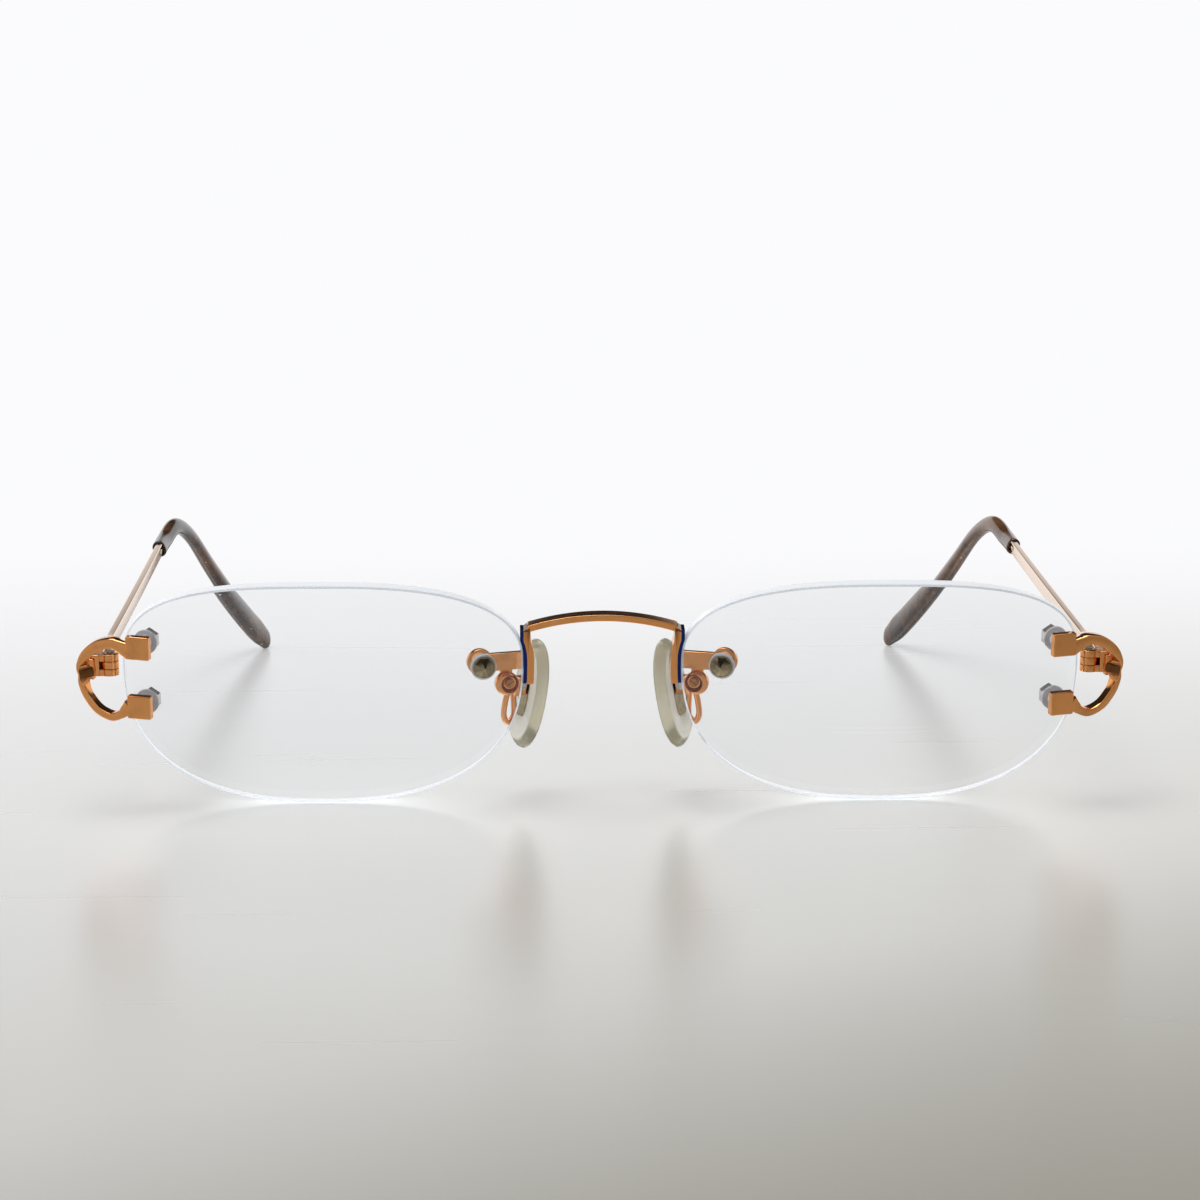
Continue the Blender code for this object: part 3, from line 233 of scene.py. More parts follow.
class StageSettings(bpy.types.PropertyGroup):
    # Painted shade: the table's colours darken toward the camera's side and the near right corner
    near_floor: colour("Near floor", "Table colour at the camera's side", (0.6, 0.58, 0.5))
    front_floor: colour("Front floor", "Table colour before the glasses", (0.89, 0.88, 0.83))
    middle_floor: colour("Middle floor", "Table colour under the glasses", (0.95, 0.95, 0.935))
    far_floor: colour("Far floor", "Table colour behind the glasses", (0.985, 0.985, 0.985))
    corner: colour("Corner", "Table colour at the near right corner", (0.42, 0.39, 0.31))
    background: colour("Background", "Colour of the backdrop", (0.965, 0.965, 0.98))
    surround: share("Surround", "Brightness of the room in front of the glasses", 0.48)
    key_power: watts("Key power", "Power of the overhead lamp", 7.1)
    side_power: watts("Side power", "Power of the left lamp", 1.7)


class GlassesSettings(bpy.types.PropertyGroup):
    lens: PointerProperty(type=LensSizes)
    endpiece: PointerProperty(type=EndpieceSizes)
    bridge: PointerProperty(type=BridgeSizes)
    pad: PointerProperty(type=PadSizes)
    temple: PointerProperty(type=TempleSizes)
    finish: PointerProperty(type=Finishes)
    stage: PointerProperty(type=StageSettings)


def settings():
    return bpy.context.scene.reading_glasses


# Frames of the things that carry the pieces


def front_depth(x, z):
    radius = settings().lens.front_radius
    return radius - math.sqrt(radius**2 - x * x - z * z)


def back_depth(x, z):
    lens = settings().lens
    return lens.thickness + lens.back_radius - math.sqrt(lens.back_radius**2 - x * x - z * z)


def lens_centre():
    lens = settings().lens
    return (lens.gap + lens.width) / 2


def face_frame(x, z):
    """A frame on the lens's front face, turned sideways with it, whose Y runs back through the lens."""
    place = Matrix.Translation((lens_centre() + x, front_depth(x, z), z))
    return place @ Matrix.Rotation(math.asin(x / settings().lens.front_radius), 4, "Z")


def frames():
    """The frames of the left side: the front, the fork, the nasal screw, the hinge and the pad's pin."""
    lens = settings().lens
    fold, rock = JOINTS["left_temple_fold"], JOINTS["left_pad_rock"]
    tilt = Matrix.Rotation(math.asin(-fold["axis"][1]), 4, "X")
    hinge = Matrix.Translation(fold["pos_m"]) @ tilt
    front = hinge @ Matrix.Translation(-HINGE_IN_GLASSES) @ Matrix.Rotation(math.radians(FRONT_LEAN), 4, "X")
    pin = front.to_3x3() @ Euler((0, math.radians(PAD_SPLAY), math.radians(PAD_TURN))).to_matrix()
    return {
        "front": front,
        "lens": front @ Matrix.Translation((lens_centre(), 0, 0)),
        "fork": front @ face_frame(lens.width / 2 - STUD_FROM_EDGE, STUD_HEIGHT),
        "nasal": front @ face_frame(NASAL_FROM_EDGE - lens.width / 2, NASAL_HEIGHT),
        "hinge": hinge,
        "pad": Matrix.Translation(rock["pos_m"]) @ pin.to_4x4(),
    }


# Shapes, each made as a bmesh about the origin of the frame that carries it


def smooth_row(points, steps):
    """A smooth row through the given points: Catmull-Rom in each of their numbers."""
    rows = [Vector(p) for p in points]
    rows = [2 * rows[0] - rows[1], *rows, 2 * rows[-1] - rows[-2]]
    made = []
    for a, b, c, d in zip(rows, rows[1:], rows[2:], rows[3:]):
        for i in range(steps):
            t = i / steps
            bend = (2 * a - 5 * b + 4 * c - d) * t**2 + (3 * b - a - 3 * c + d) * t**3
            made.append(0.5 * (2 * b + (c - a) * t + bend))
    made.append(rows[-2])
    return made


def smooth(part):
    """0 below 0, 1 above 1, and smooth between them."""
    part = min(1, max(0, part))
    return part * part * (3 - 2 * part)


def bulged(part, power):
    """A sine or cosine turned into that of a superellipse."""
    return math.copysign(abs(part) ** (2 / power), part)


def oval(half_width, half_height, power, count):
    """Points of a superellipse, anticlockwise from +X."""
    angles = [math.tau * i / count for i in range(count)]
    return [
        (half_width * bulged(math.cos(a), power), half_height * bulged(math.sin(a), power)) for a in angles
    ]


def rounded(half_width, half_height, easing):
    """Points of a rectangle with rounded corners, anticlockwise."""
    made = []
    for right, up in ((1, 1), (-1, 1), (-1, -1), (1, -1)):
        corner = Vector((right * (half_width - easing), up * (half_height - easing)))
        for turn in (-45, -15, 15, 45):
            angle = math.atan2(up, right) + math.radians(turn)
            made.append(corner + Vector((math.cos(angle), math.sin(angle))) * easing)
    return made


def closed(bm):
    bmesh.ops.recalc_face_normals(bm, faces=bm.faces)
    return bm


def joined(*shapes):
    """Several shapes in one bmesh. They overlap where they meet."""
    made = shapes[0]
    for shape in shapes[1:]:
        mesh = bpy.data.meshes.new("joined")
        shape.to_mesh(mesh)
        shape.free()
        made.from_mesh(mesh)
        bpy.data.meshes.remove(mesh)
    return made


def moved(bm, place):
    """The shape moved by an offset or carried by a matrix."""
    matrix = place if isinstance(place, Matrix) else Matrix.Translation(place)
    bmesh.ops.transform(bm, matrix=matrix, verts=bm.verts)
    return bm


def eased(bm, parts, easing, segments, affect="EDGES"):
    """Rounds edges or corners."""
    bmesh.ops.bevel(
        bm, geom=parts, offset=easing, segments=segments, profile=0.5, affect=affect, material=-1
    )


def block(low, high, easing, segments=3):
    """A box between two corners with rounded edges."""
    bm = bmesh.new()
    low, high = Vector(low), Vector(high)
    bmesh.ops.create_cube(bm, size=1)
    bmesh.ops.scale(bm, vec=high - low, verts=bm.verts)
    bmesh.ops.translate(bm, vec=(low + high) / 2, verts=bm.verts)
    eased(bm, bm.edges, easing, segments)
    return closed(bm)


def cone(sides, low_radius, high_radius, height, easing):
    """A faceted cone or prism about the Z axis with eased edges."""
    bm = bmesh.new()
    bmesh.ops.create_cone(
        bm, cap_ends=True, segments=sides, radius1=low_radius, radius2=high_radius, depth=height
    )
    eased(bm, bm.edges, easing, 2)
    return closed(bm)


def turned(profile, easing, segments=56):
    """A closed outline of (radius, along) turned about the Y axis, with its corners rounded."""
    bm = bmesh.new()
    corners = [bm.verts.new((radius, along, 0)) for radius, along in profile]
    bm.faces.new(corners)
    eased(bm, [v for v in corners if v.co.x > SEAT], easing, 3, "VERTICES")
    bmesh.ops.delete(bm, geom=bm.faces[:], context="FACES_ONLY")
    on_axis = [e for e in bm.edges if all(abs(v.co.x) < SEAT for v in e.verts)]
    bmesh.ops.delete(bm, geom=on_axis, context="EDGES")
    bmesh.ops.spin(
        bm,
        geom=bm.verts[:] + bm.edges[:],
        cent=(0, 0, 0),
        axis=(0, 1, 0),
        angle=math.tau,
        steps=segments,
        use_merge=True,
    )
    bmesh.ops.remove_doubles(bm, verts=bm.verts, dist=0.001 * MM)
    return closed(bm)


def ring(inner, outer, low, high, easing, segments=56):
    """A ring about the Y axis, or a disc where it has no inner radius."""
    return turned([(inner, low), (outer, low), (outer, high), (inner, high)], easing, segments)


def verts_of(geometry):
    return [g for g in geometry if isinstance(g, bmesh.types.BMVert)]


def plate(outline, low, high, easing, segments=2):
    """A flat outline of (across, up) given thickness along Y, with its rims rounded."""
    bm = bmesh.new()
    face = bm.faces.new([bm.verts.new((x, low, z)) for x, z in outline])
    made = bmesh.ops.extrude_face_region(bm, geom=[face])["geom"]
    bmesh.ops.translate(bm, vec=(0, high - low, 0), verts=verts_of(made))
    rims = [e for e in bm.edges if abs(e.verts[0].co.y - e.verts[1].co.y) < SEAT]
    eased(bm, rims, easing, segments)
    return closed(bm)


def skinned(rings, start=None, end=None, shades=None):
    """A closed skin over rings of points. A circle takes the first ring's shape, and its rim is extruded to
    each next one. An end closes flat, or on a point where one is given. Shades darken each ring's points."""
    bm = bmesh.new()
    shading = bm.verts.layers.float.new("shade")
    rim = bmesh.ops.create_circle(bm, segments=len(rings[0]), radius=1)["verts"]
    for vert, point in zip(rim, rings[0]):
        vert.co = point
    first = list(rim)
    edges = bm.edges[:]
    if start is None:
        bmesh.ops.contextual_create(bm, geom=edges)
    for row, points in enumerate(rings[1:], 1):
        made = bmesh.ops.extrude_edge_only(bm, edges=edges)["geom"]
        new = set(verts_of(made))
        order = {vert: i for i, vert in enumerate(rim)}
        rim = [None] * len(points)
        for vert in new:
            behind = next(e.other_vert(vert) for e in vert.link_edges if e.other_vert(vert) in order)
            rim[order[behind]] = vert
        for i, (vert, point) in enumerate(zip(rim, points)):
            vert.co = point
            vert[shading] = shades[row][i] if shades else 0
        edges = [g for g in made if isinstance(g, bmesh.types.BMEdge) and set(g.verts) <= new]
    if end is None:
        bmesh.ops.contextual_create(bm, geom=edges)
    for loop, point in ((first, start), (rim, end)):
        if point is None:
            continue
        edges = [e for e in {e for v in loop for e in v.link_edges} if e.is_boundary]
        made = bmesh.ops.extrude_edge_only(bm, edges=edges)["geom"]
        bmesh.ops.pointmerge(bm, verts=verts_of(made), merge_co=point)
    return closed(bm)


def carved(bm, *cutters):
    """The shape with others cut out of it."""
    scene = bpy.context.scene.collection
    objects = []
    for i, shape in enumerate((bm, *cutters)):
        mesh = bpy.data.meshes.new("carving")
        shape.to_mesh(mesh)
        shape.free()
        objects.append(bpy.data.objects.new(f"carving_{i}", mesh))
        scene.objects.link(objects[-1])
    for tool in objects[1:]:
        cut = objects[0].modifiers.new("cut", "BOOLEAN")
        cut.operation = "DIFFERENCE"
        cut.solver = "EXACT"
        cut.object = tool
    bpy.context.view_layer.update()
    graph = bpy.context.evaluated_depsgraph_get()
    mesh = bpy.data.meshes.new_from_object(objects[0].evaluated_get(graph))
    made = bmesh.new()
    made.from_mesh(mesh)
    for obj in objects:
        bpy.data.objects.remove(obj)
    bpy.data.meshes.remove(mesh)
    return made


def wire(points, radius, steps, sides=24):
    """A round wire along a smooth line, with flat ends."""
    row = smooth_row(points, steps)
    upward = Vector((1, 0, 0))
    rings = []
    for i, here in enumerate(row):
        along = (row[min(i + 1, len(row) - 1)] - row[max(i - 1, 0)]).normalized()
        across = along.cross(upward).normalized()
        upward = across.cross(along)
        rings.append([here + across * x + upward * z for x, z in oval(radius, radius, 2, sides)])
    return skinned(rings)


def shrunk(points, centre, scale, offset):
    return [centre + offset + (point - centre) * scale for point in points]


# Placing pieces: the left one where its frame stands, the right one mirrored


def marked(bm, mark, amount, above=-math.inf):
    """Marks a shape's points above a height for its finish: painted shade, painted sheen or painted blue
    reflection on the plating.
    """
    layer = bm.verts.layers.float.get(mark) or bm.verts.layers.float.new(mark)
    for vert in bm.verts:
        if vert.co.z > above:
            vert[layer] = amount
    return bm


def add_piece(name, bm, body, look, replaced=(), sharp=38, even=True):
    """Makes an object of a shape. The look is a function that gives its material and its slot. Edges that
    turn by more than the sharp angle, in degrees, stay sharp. Even weights the normals by face area."""
    material, slot = look()
    mesh = bpy.data.meshes.new(name)
    bm.to_mesh(mesh)
    bm.free()
    mesh.shade_smooth()
    mesh.set_sharp_from_angle(angle=math.radians(sharp))
    mesh.materials.append(material)
    made = bpy.data.objects.new(name, mesh)
    bpy.context.scene.collection.objects.link(made)
    if even:
        normals = made.modifiers.new("even_normals", "WEIGHTED_NORMAL")
        normals.keep_sharp = True
    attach(made, body)
    if replaced:
        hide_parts(*replaced)
    return made


def add_pair(name, bm, carrier, body, look, replaced=(), sharp=38, even=True):
    """The piece on both sides. The body and the replaced nodes are named without their side."""
    moved(bm, frames()[carrier])
    other = moved(bm.copy(), MIRROR)
    bmesh.ops.reverse_faces(other, faces=other.faces)
    made = []
    for side, shape in (("left", bm), ("right", other)):
        rides = body if body == "front" else f"{side}_{body}"
        nodes = [f"{side}_{node}" for node in replaced]
        made.append(add_piece(f"{side}_{name}", shape, rides, look, nodes, sharp, even))
    return made


# Materials


class Wired:
    """A node's output. Arithmetic on it adds Math nodes."""

    def __init__(self, graph, socket):
        self.graph = graph
        self.socket = socket

    def math(self, operation, *values):
        return self.graph.add("Math", {"operation": operation}, *values)

    def __add__(self, other):
        return self.math("ADD", self, other)

    def __radd__(self, other):
        return self.math("ADD", other, self)

    def __sub__(self, other):
        return self.math("SUBTRACT", self, other)

    def __rsub__(self, other):
        return self.math("SUBTRACT", other, self)

    def __mul__(self, other):
        return self.math("MULTIPLY", self, other)

    def __rmul__(self, other):
        return self.math("MULTIPLY", other, self)

    def __truediv__(self, other):
        return self.math("DIVIDE", self, other)

    def larger(self, other):
        return self.math("MAXIMUM", self, other)

    def ramp(self, low, high):
        """0 below low, 1 above high, and smooth between them."""
        return self.graph.add("MapRange", {"interpolation_type": "SMOOTHSTEP"}, self, low, high, 0.0, 1.0)


class Graph:
    """A material's or the world's node tree, with one method that adds any node."""

    def __init__(self, owner):
        owner.use_nodes = True
        self.tree = owner.node_tree
        self.tree.nodes.clear()

    def add(self, kind, setup=None, *values, out=0, **named):
        """Adds a node by its type. Its settings come first, then values or links for its sockets, in order or
        named with underscores for spaces."""
        node = self.tree.nodes.new("ShaderNode" + kind)
        for key, value in (setup or {}).items():
            if key == "stops":
                for place, tone in value[2:]:
                    node.color_ramp.elements.new(place)
                for element, (place, tone) in zip(node.color_ramp.elements, sorted(value)):
                    element.position = place
                    element.color = (*tone, 1)
            else:
                setattr(node, key, value)
        given = list(enumerate(values)) + [(key.replace("_", " "), value) for key, value in named.items()]
        for key, value in given:
            if value is None:
                continue
            socket = node.inputs[key]
            if isinstance(value, Wired):
                self.tree.links.new(value.socket, socket)
            elif hasattr(value, "__len__") and len(value) == 3 and socket.type == "RGBA":
                socket.default_value = (*value, 1)
            else:
                socket.default_value = value
        return Wired(self, node.outputs[out])

    def attribute(self, name):
        return self.add("Attribute", {"attribute_name": name}, out="Fac")

    def axis(self, vector, index):
        return self.add("SeparateXYZ", {}, vector, out=index)

    def place(self):
        return self.add("TexCoord", out="Object")

    def stretched(self, scale, turn=(0, 0, 0)):
        """Object coordinates in units of the pattern, turned and stretched."""
        return self.add("Mapping", {}, self.place(), Rotation=turn, Scale=scale)

    def noise(self, scale, detail=2.0, roughness=0.5, vector=None):
        vector = vector or self.place()
        return self.add("TexNoise", {}, Vector=vector, Scale=scale, Detail=detail, Roughness=roughness)

    def mix(self, factor, first, second):
        """One colour blended into another."""
        node = self.add("Mix", {"data_type": "RGBA"}, factor, out=2)
        for index, value in ((6, first), (7, second)):
            socket = node.socket.node.inputs[index]
            if isinstance(value, Wired):
                self.tree.links.new(value.socket, socket)
            else:
                socket.default_value = (*value, 1)
        return node

    def bump(self, height, depth, strength):
        """Relief from a height, with its depth in millimetres."""
        return self.add("Bump", {}, Strength=strength, Distance=depth * MM, Height=height)

    def principled(self, **inputs):
        return self.add("BsdfPrincipled", {}, **inputs)

    def close(self, shader, kind="OutputMaterial"):
        node = self.tree.nodes.new("ShaderNode" + kind)
        self.tree.links.new(shader.socket, node.inputs["Surface"])


def scaled(tone, part):
    return tuple(part * t for t in tone)


def finish(slot):
    """Turns a function that wires a shader into one that gives its material, made once, and its slot."""

    def wrap(shader):
        def found():
            name = shader.__name__
            made = bpy.data.materials.get(name)
            if made is None:
                made = bpy.data.materials.new(name)
                graph = Graph(made)
                graph.close(shader(graph, settings().finish))
            return made, slot

        return found

    return wrap


@finish("rose_gold")
def rose_gold_plating(graph, tones):
    """Polishing lines, cloudy tarnish and paler metal where it has thinned, with painted shade in the hollows
    and on the straps' upper ends, a painted sheen on the temples and a painted blue reflection along the
    straps.
    """
    clouds = graph.noise(420, 3, 0.55)
    grain = graph.noise(1.0, 2, 0.6, graph.stretched((900, 900, 16000)))
    specks = graph.noise(5200, 1, 0.5).ramp(0.66, 0.74)
    # Painted shade where the shapes are marked with shade
    painted_shade = graph.attribute("shade") * (0.86 + 0.28 * (clouds - 0.5))
    base = graph.mix(clouds.ramp(0.25, 0.5), scaled(tones.metal, 0.84), tones.metal)
    base = graph.mix(clouds.ramp(0.56, 0.78) * 0.4, base, tones.worn_metal)
    # Painted sheen where the temple bars are marked
    base = graph.mix(graph.attribute("champagne"), base, tones.painted_sheen_tone)
    # Painted dark-blue reflection on the straps' rebates along the lens
    base = graph.mix(graph.attribute("blueing"), base, tones.blueing)
    base = graph.mix(specks * 0.3, base, scaled(tones.metal, 0.45))
    return graph.principled(
        Base_Color=graph.mix(painted_shade, base, tones.painted_shade),
        Metallic=1.0,
        Roughness=0.05 + 0.07 * grain + 0.05 * clouds + 0.15 * painted_shade,
        Normal=graph.bump(grain * 0.6 + specks * 0.4, 0.0006, 0.4),
    )


@finish("dark_bronze")
def browned_bronze(graph, tones):
    """Dark bronze of the faceted screws, with olive tarnish and fine pits."""
    clouds = graph.noise(1400, 3, 0.6)
    pits = graph.noise(9000, 1, 0.5).ramp(0.6, 0.72)
    base = graph.mix(clouds.ramp(0.3, 0.7), scaled(tones.screw, 0.7), tones.screw)
    return graph.principled(
        Base_Color=graph.mix(pits * 0.4, base, scaled(tones.screw, 0.35)),
        Metallic=1.0,
        Roughness=0.14 + 0.12 * clouds,
        Normal=graph.bump(pits + clouds * 0.5, 0.001, 0.5),
    )


@finish("steel")
def ground_steel(graph, tones):
    """Bare steel with fine turning marks and dull spots."""
    marks = graph.noise(1.0, 2, 0.6, graph.stretched((5000, 26000, 5000)))
    spots = graph.noise(2200, 2, 0.5)
    return graph.principled(
        Base_Color=graph.mix(spots.ramp(0.35, 0.65), scaled(tones.steel, 0.8), tones.steel),
        Metallic=0.75,
        Roughness=0.05 + 0.12 * marks,
        Normal=graph.bump(marks, 0.0012, 0.5),
    )


@finish("lens_clear")
def clear_lens(graph, tones):
    """Clear lens: a ground rim with a painted glow, hair-fine wipe marks and a little dust."""
    wipes = graph.noise(1.0, 3, 0.6, graph.stretched((90, 2600, 2600), (0, math.radians(25), 0)))
    smears = graph.noise(70, 2, 0.5).ramp(0.45, 0.75)
    dust = graph.noise(2600, 1, 0.5).ramp(0.8, 0.85)
    grit = graph.noise(12000, 1, 0.5)
    # The rim is where the surface turns away from the front; it has a painted glow, bluish at its front edge
    # and whiter on its rear part
    facing = graph.axis(graph.add("TexCoord", out="Normal"), 1)
    rim = 1.0 - facing.math("ABSOLUTE", facing).ramp(0.6, 0.93)
    rear = graph.attribute("shade")
    clear = graph.principled(
        Base_Color=graph.mix(dust * 0.25, tones.lens, (0.7, 0.7, 0.68)),
        Roughness=0.004 + 0.01 * smears + 0.25 * dust,
        IOR=1.5,
        Transmission_Weight=1.0,
        Normal=graph.bump(wipes, 0.0003, 0.3),
    )
    ground = graph.principled(
        Base_Color=graph.mix(grit.ramp(0.3, 0.7), tones.lens_edge, scaled(tones.lens_edge, 0.94)),
        Roughness=0.4 + 0.2 * grit,
        IOR=1.5,
        Normal=graph.bump(grit, 0.002, 0.5),
        # Painted glow: the ground rim gives off light
        Emission_Color=graph.mix(rear, tones.painted_rim_glow, (1.0, 1.0, 1.0)),
        Emission_Strength=0.27,
    )
    return graph.add("MixShader", {}, 0.85 * rim, clear, ground)


@finish("nylon_clear")
def clear_nylon(graph, tones):
    """Clear moulded nylon, a little cloudy."""
    haze = graph.noise(1800, 2, 0.5)
    return graph.principled(
        Base_Color=graph.mix(haze, scaled(tones.sleeve, 0.9), tones.sleeve),
        Roughness=0.03 + 0.1 * haze,
        IOR=1.53,
        Transmission_Weight=0.45,
        Normal=graph.bump(haze, 0.002, 0.4),
    )


@finish("silicone")
def aged_silicone(graph, tones):
    """Clear silicone that has yellowed round its edge, more so in patches, with a satin moulded skin."""
    patches = graph.noise(330, 3, 0.6)
    skin = graph.noise(6500, 2, 0.6)
    yellowed = graph.mix(patches.ramp(0.3, 0.7), tones.pad, tuple(0.8 * t + 0.15 for t in tones.pad))
    return graph.principled(
        Base_Color=graph.mix(graph.attribute("shade"), tones.pad_back, yellowed),
        Roughness=0.08 + 0.1 * skin,
        IOR=1.41,
        Transmission_Weight=0.7,
        Normal=graph.bump(skin, 0.002, 0.3),
    )


@finish("ear_tip_brown")
def marbled_acetate(graph, tones):
    """Dark marbled acetate under a polished skin, with a few fine pale specks."""
    swirl = graph.noise(1.0, 4, 0.6, graph.stretched((170, 90, 90)))
    fine = graph.noise(900, 2, 0.5)
    specks = graph.noise(1700, 0, 0.5).ramp(0.83, 0.85)
    base = graph.mix((swirl * 0.75 + fine * 0.25).ramp(0.42, 0.64), tones.tip_dark, tones.tip_light)
    return graph.principled(
        Base_Color=graph.mix(specks, base, (0.62, 0.6, 0.58)),
        Roughness=0.07 + 0.08 * fine,
        IOR=1.5,
        Normal=graph.bump(fine, 0.002, 0.4),
    )


# Operators


class GlassesOperator(bpy.types.Operator):
    bl_options = {"REGISTER", "UNDO"}

    def execute(self, context):
        self.build(settings())
        return {"FINISHED"}


def lens_quarter(outward, upward):
    """The height of one quarter of the lens, and the power of its superellipse."""
    lens = settings().lens
    if upward:
        return lens.top - lens.widest, 2.75 if outward else 2.4
    return lens.bottom + lens.widest, 2.5


def lens_outline(angle, inset=0.0):
    """The lens's edge at an angle from its centre, as (outward, up), or that far inside it."""
    lens = settings().lens
    c, s = math.cos(angle), math.sin(angle)
    height, power = lens_quarter(c >= 0, s >= 0)
    return bulged(c, power) * (lens.width / 2 - inset), bulged(s, power) * (height - inset) + lens.widest


def nasal_edge_x(z):
    """How far outward from the lens centre the nasal edge lies at a height."""
    lens = settings().lens
    height, power = lens_quarter(False, z >= lens.widest)
    return -lens.width / 2 * (1 - (abs(z - lens.widest) / height) ** power) ** (1 / power)


def lens_shape():
    """A curved lens with a bevelled rim, marked as shade behind the rim's front edge, where its painted glow
    turns white. Its rings run from the middle of the front to the middle of the back."""
    lens = settings().lens
    bevel_depth = 0.8 * lens.edge_bevel
    angles = [math.tau * i / LENS_SIDES for i in range(LENS_SIDES)]
    edge = [lens_outline(a) for a in angles]
    inner = [lens_outline(a, lens.edge_bevel) for a in angles]

    def inside(part):
        return [(x * part, lens.widest + (z - lens.widest) * part) for x, z in inner]

    def at(points, depth):
        return [Vector((x, depth(x, z), z)) for x, z in points]

    parts = [0.02] + [i / 26 for i in range(1, 26)] + [0.985, 1.0]
    rings = [at(inside(part), front_depth) for part in parts]
    rings.append(at(edge, lambda x, z: front_depth(x, z) + bevel_depth))
    # Rows from here on carry the shade mark, which whitens the rim's painted glow
    shaded_from = len(rings)
    for part in (0.3, 0.65):
        rings.append(at(edge, lambda x, z: front_depth(x, z) * (1 - part) + back_depth(x, z) * part))
    rings.append(at(edge, lambda x, z: back_depth(x, z) - bevel_depth))
    rings += [at(inside(part), back_depth) for part in reversed(parts)]
    shades = [[int(row >= shaded_from)] * LENS_SIDES for row in range(len(rings))]
    start, end = (at([(0, lens.widest)], depth)[0] for depth in (front_depth, back_depth))
    return skinned(rings, start, end, shades)


def hole_cutter(place, height=0.0):
    drill = ring(0, settings().lens.hole_radius, -4 * MM, 8 * MM, 0.01 * MM, 40)
    return moved(drill, place @ Matrix.Translation((0, 0, height)))


class GLASSES_OT_add_lenses(GlassesOperator):
    """Add the two clear lenses with their ground rims and drilled holes"""

    bl_idname = "glasses.add_lenses"
    bl_label = "Add Lenses"

    def build(self, all_settings):
        to_lens = frames()["lens"].inverted()
        fork, nasal = to_lens @ frames()["fork"], to_lens @ frames()["nasal"]
        half = all_settings.endpiece.spacing / 2
        shape = carved(lens_shape(), hole_cutter(fork, half), hole_cutter(fork, -half), hole_cutter(nasal))
        lenses = add_pair("lens_clear", shape, "lens", "front", clear_lens, ["lens"], sharp=30, even=False)
        for lens in lenses:
            lens.visible_shadow = False


def fork_shape():
    """The two legs as one ribbon from lug to lug, whose inner face slopes back into a valley at the spine,
    marked for painted shade.
    """
    sizes = settings().endpiece
    row = smooth_row(FORK_LINE, 8)
    front = -sizes.front
    rings, shades = [], []
    for i, here in enumerate(row):
        along = row[min(i + 1, len(row) - 1)] - row[max(i - 1, 0)]
        out = Vector((-along.y, 0, along.x)).normalized()
        middle = Vector((here.x, 0, here.y)) * MM
        half, slope = here.z / 2 * MM, max(here.w, 0) * MM
        inner = -half - slope
        # The legs reach further back once they are past the lens's edge
        rear = -SEAT + (sizes.rear + SEAT) * smooth((here.x - 2.5) / 0.8)
        ease = min(sizes.easing, half * 0.6)
        nick = ease * 0.3
        # Painted shade: the valley's points are marked to darken it
        valley = min(1.0, max(0.0, slope / MM - 0.4) / 0.9)
        section = [
            (half - ease, front, 0),
            (half - nick, front + nick, 0),
            (half, front + ease, 0),
            (half, rear - ease, 0),
            (half - nick, rear - nick, 0),
            (half - ease, rear, 0),
            (inner + ease, rear, 0),
            (inner + nick, rear - nick, 0),
            (inner, rear - ease, 0),
            (-half - slope * 0.94, rear - ease * 1.6, valley),
            (-half - slope * 0.5, (rear + front) * 0.5, valley),
            (-half - slope * 0.03, front + ease * 1.3, valley),
            (-half, front + ease, 0),
            (-half + nick, front + nick, 0),
            (-half + ease, front, 0),
        ]
        rings.append([middle + out * across + Vector((0, y, 0)) for across, y, _ in section])
        shades.append([shade for _, _, shade in section])
    return skinned(rings, shades=shades)


class GLASSES_OT_add_endpieces(GlassesOperator):
    """Add the open forks with their lugs and studs"""

    bl_idname = "glasses.add_endpieces"
    bl_label = "Add Endpieces"

    def build(self, all_settings):
        sizes = all_settings.endpiece
        shapes = [fork_shape()]
        width, height = sizes.lug_width / 2, sizes.lug_height / 2
        proud, past_nut = 0.06 * MM, 0.45 * MM
        end = STUD_SEAT + FLANGE_THICKNESS + WASHER_THICKNESS + NUT_HEIGHT + past_nut
        for z in (sizes.spacing / 2, -sizes.spacing / 2):
            low, high = (-width, -sizes.front - proud, z - height), (width, -SEAT, z + height)
            shapes.append(block(low, high, 0.15 * MM))
            stud = ring(0, STUD_RADIUS, -sizes.front / 2, end, 0.12 * MM, 32)
            shapes.append(moved(stud, (0, 0, z)))
        whole = joined(*shapes)
        add_pair("endpiece", whole, "fork", "front", rose_gold_plating, ["endpiece_fork"], sharp=32)


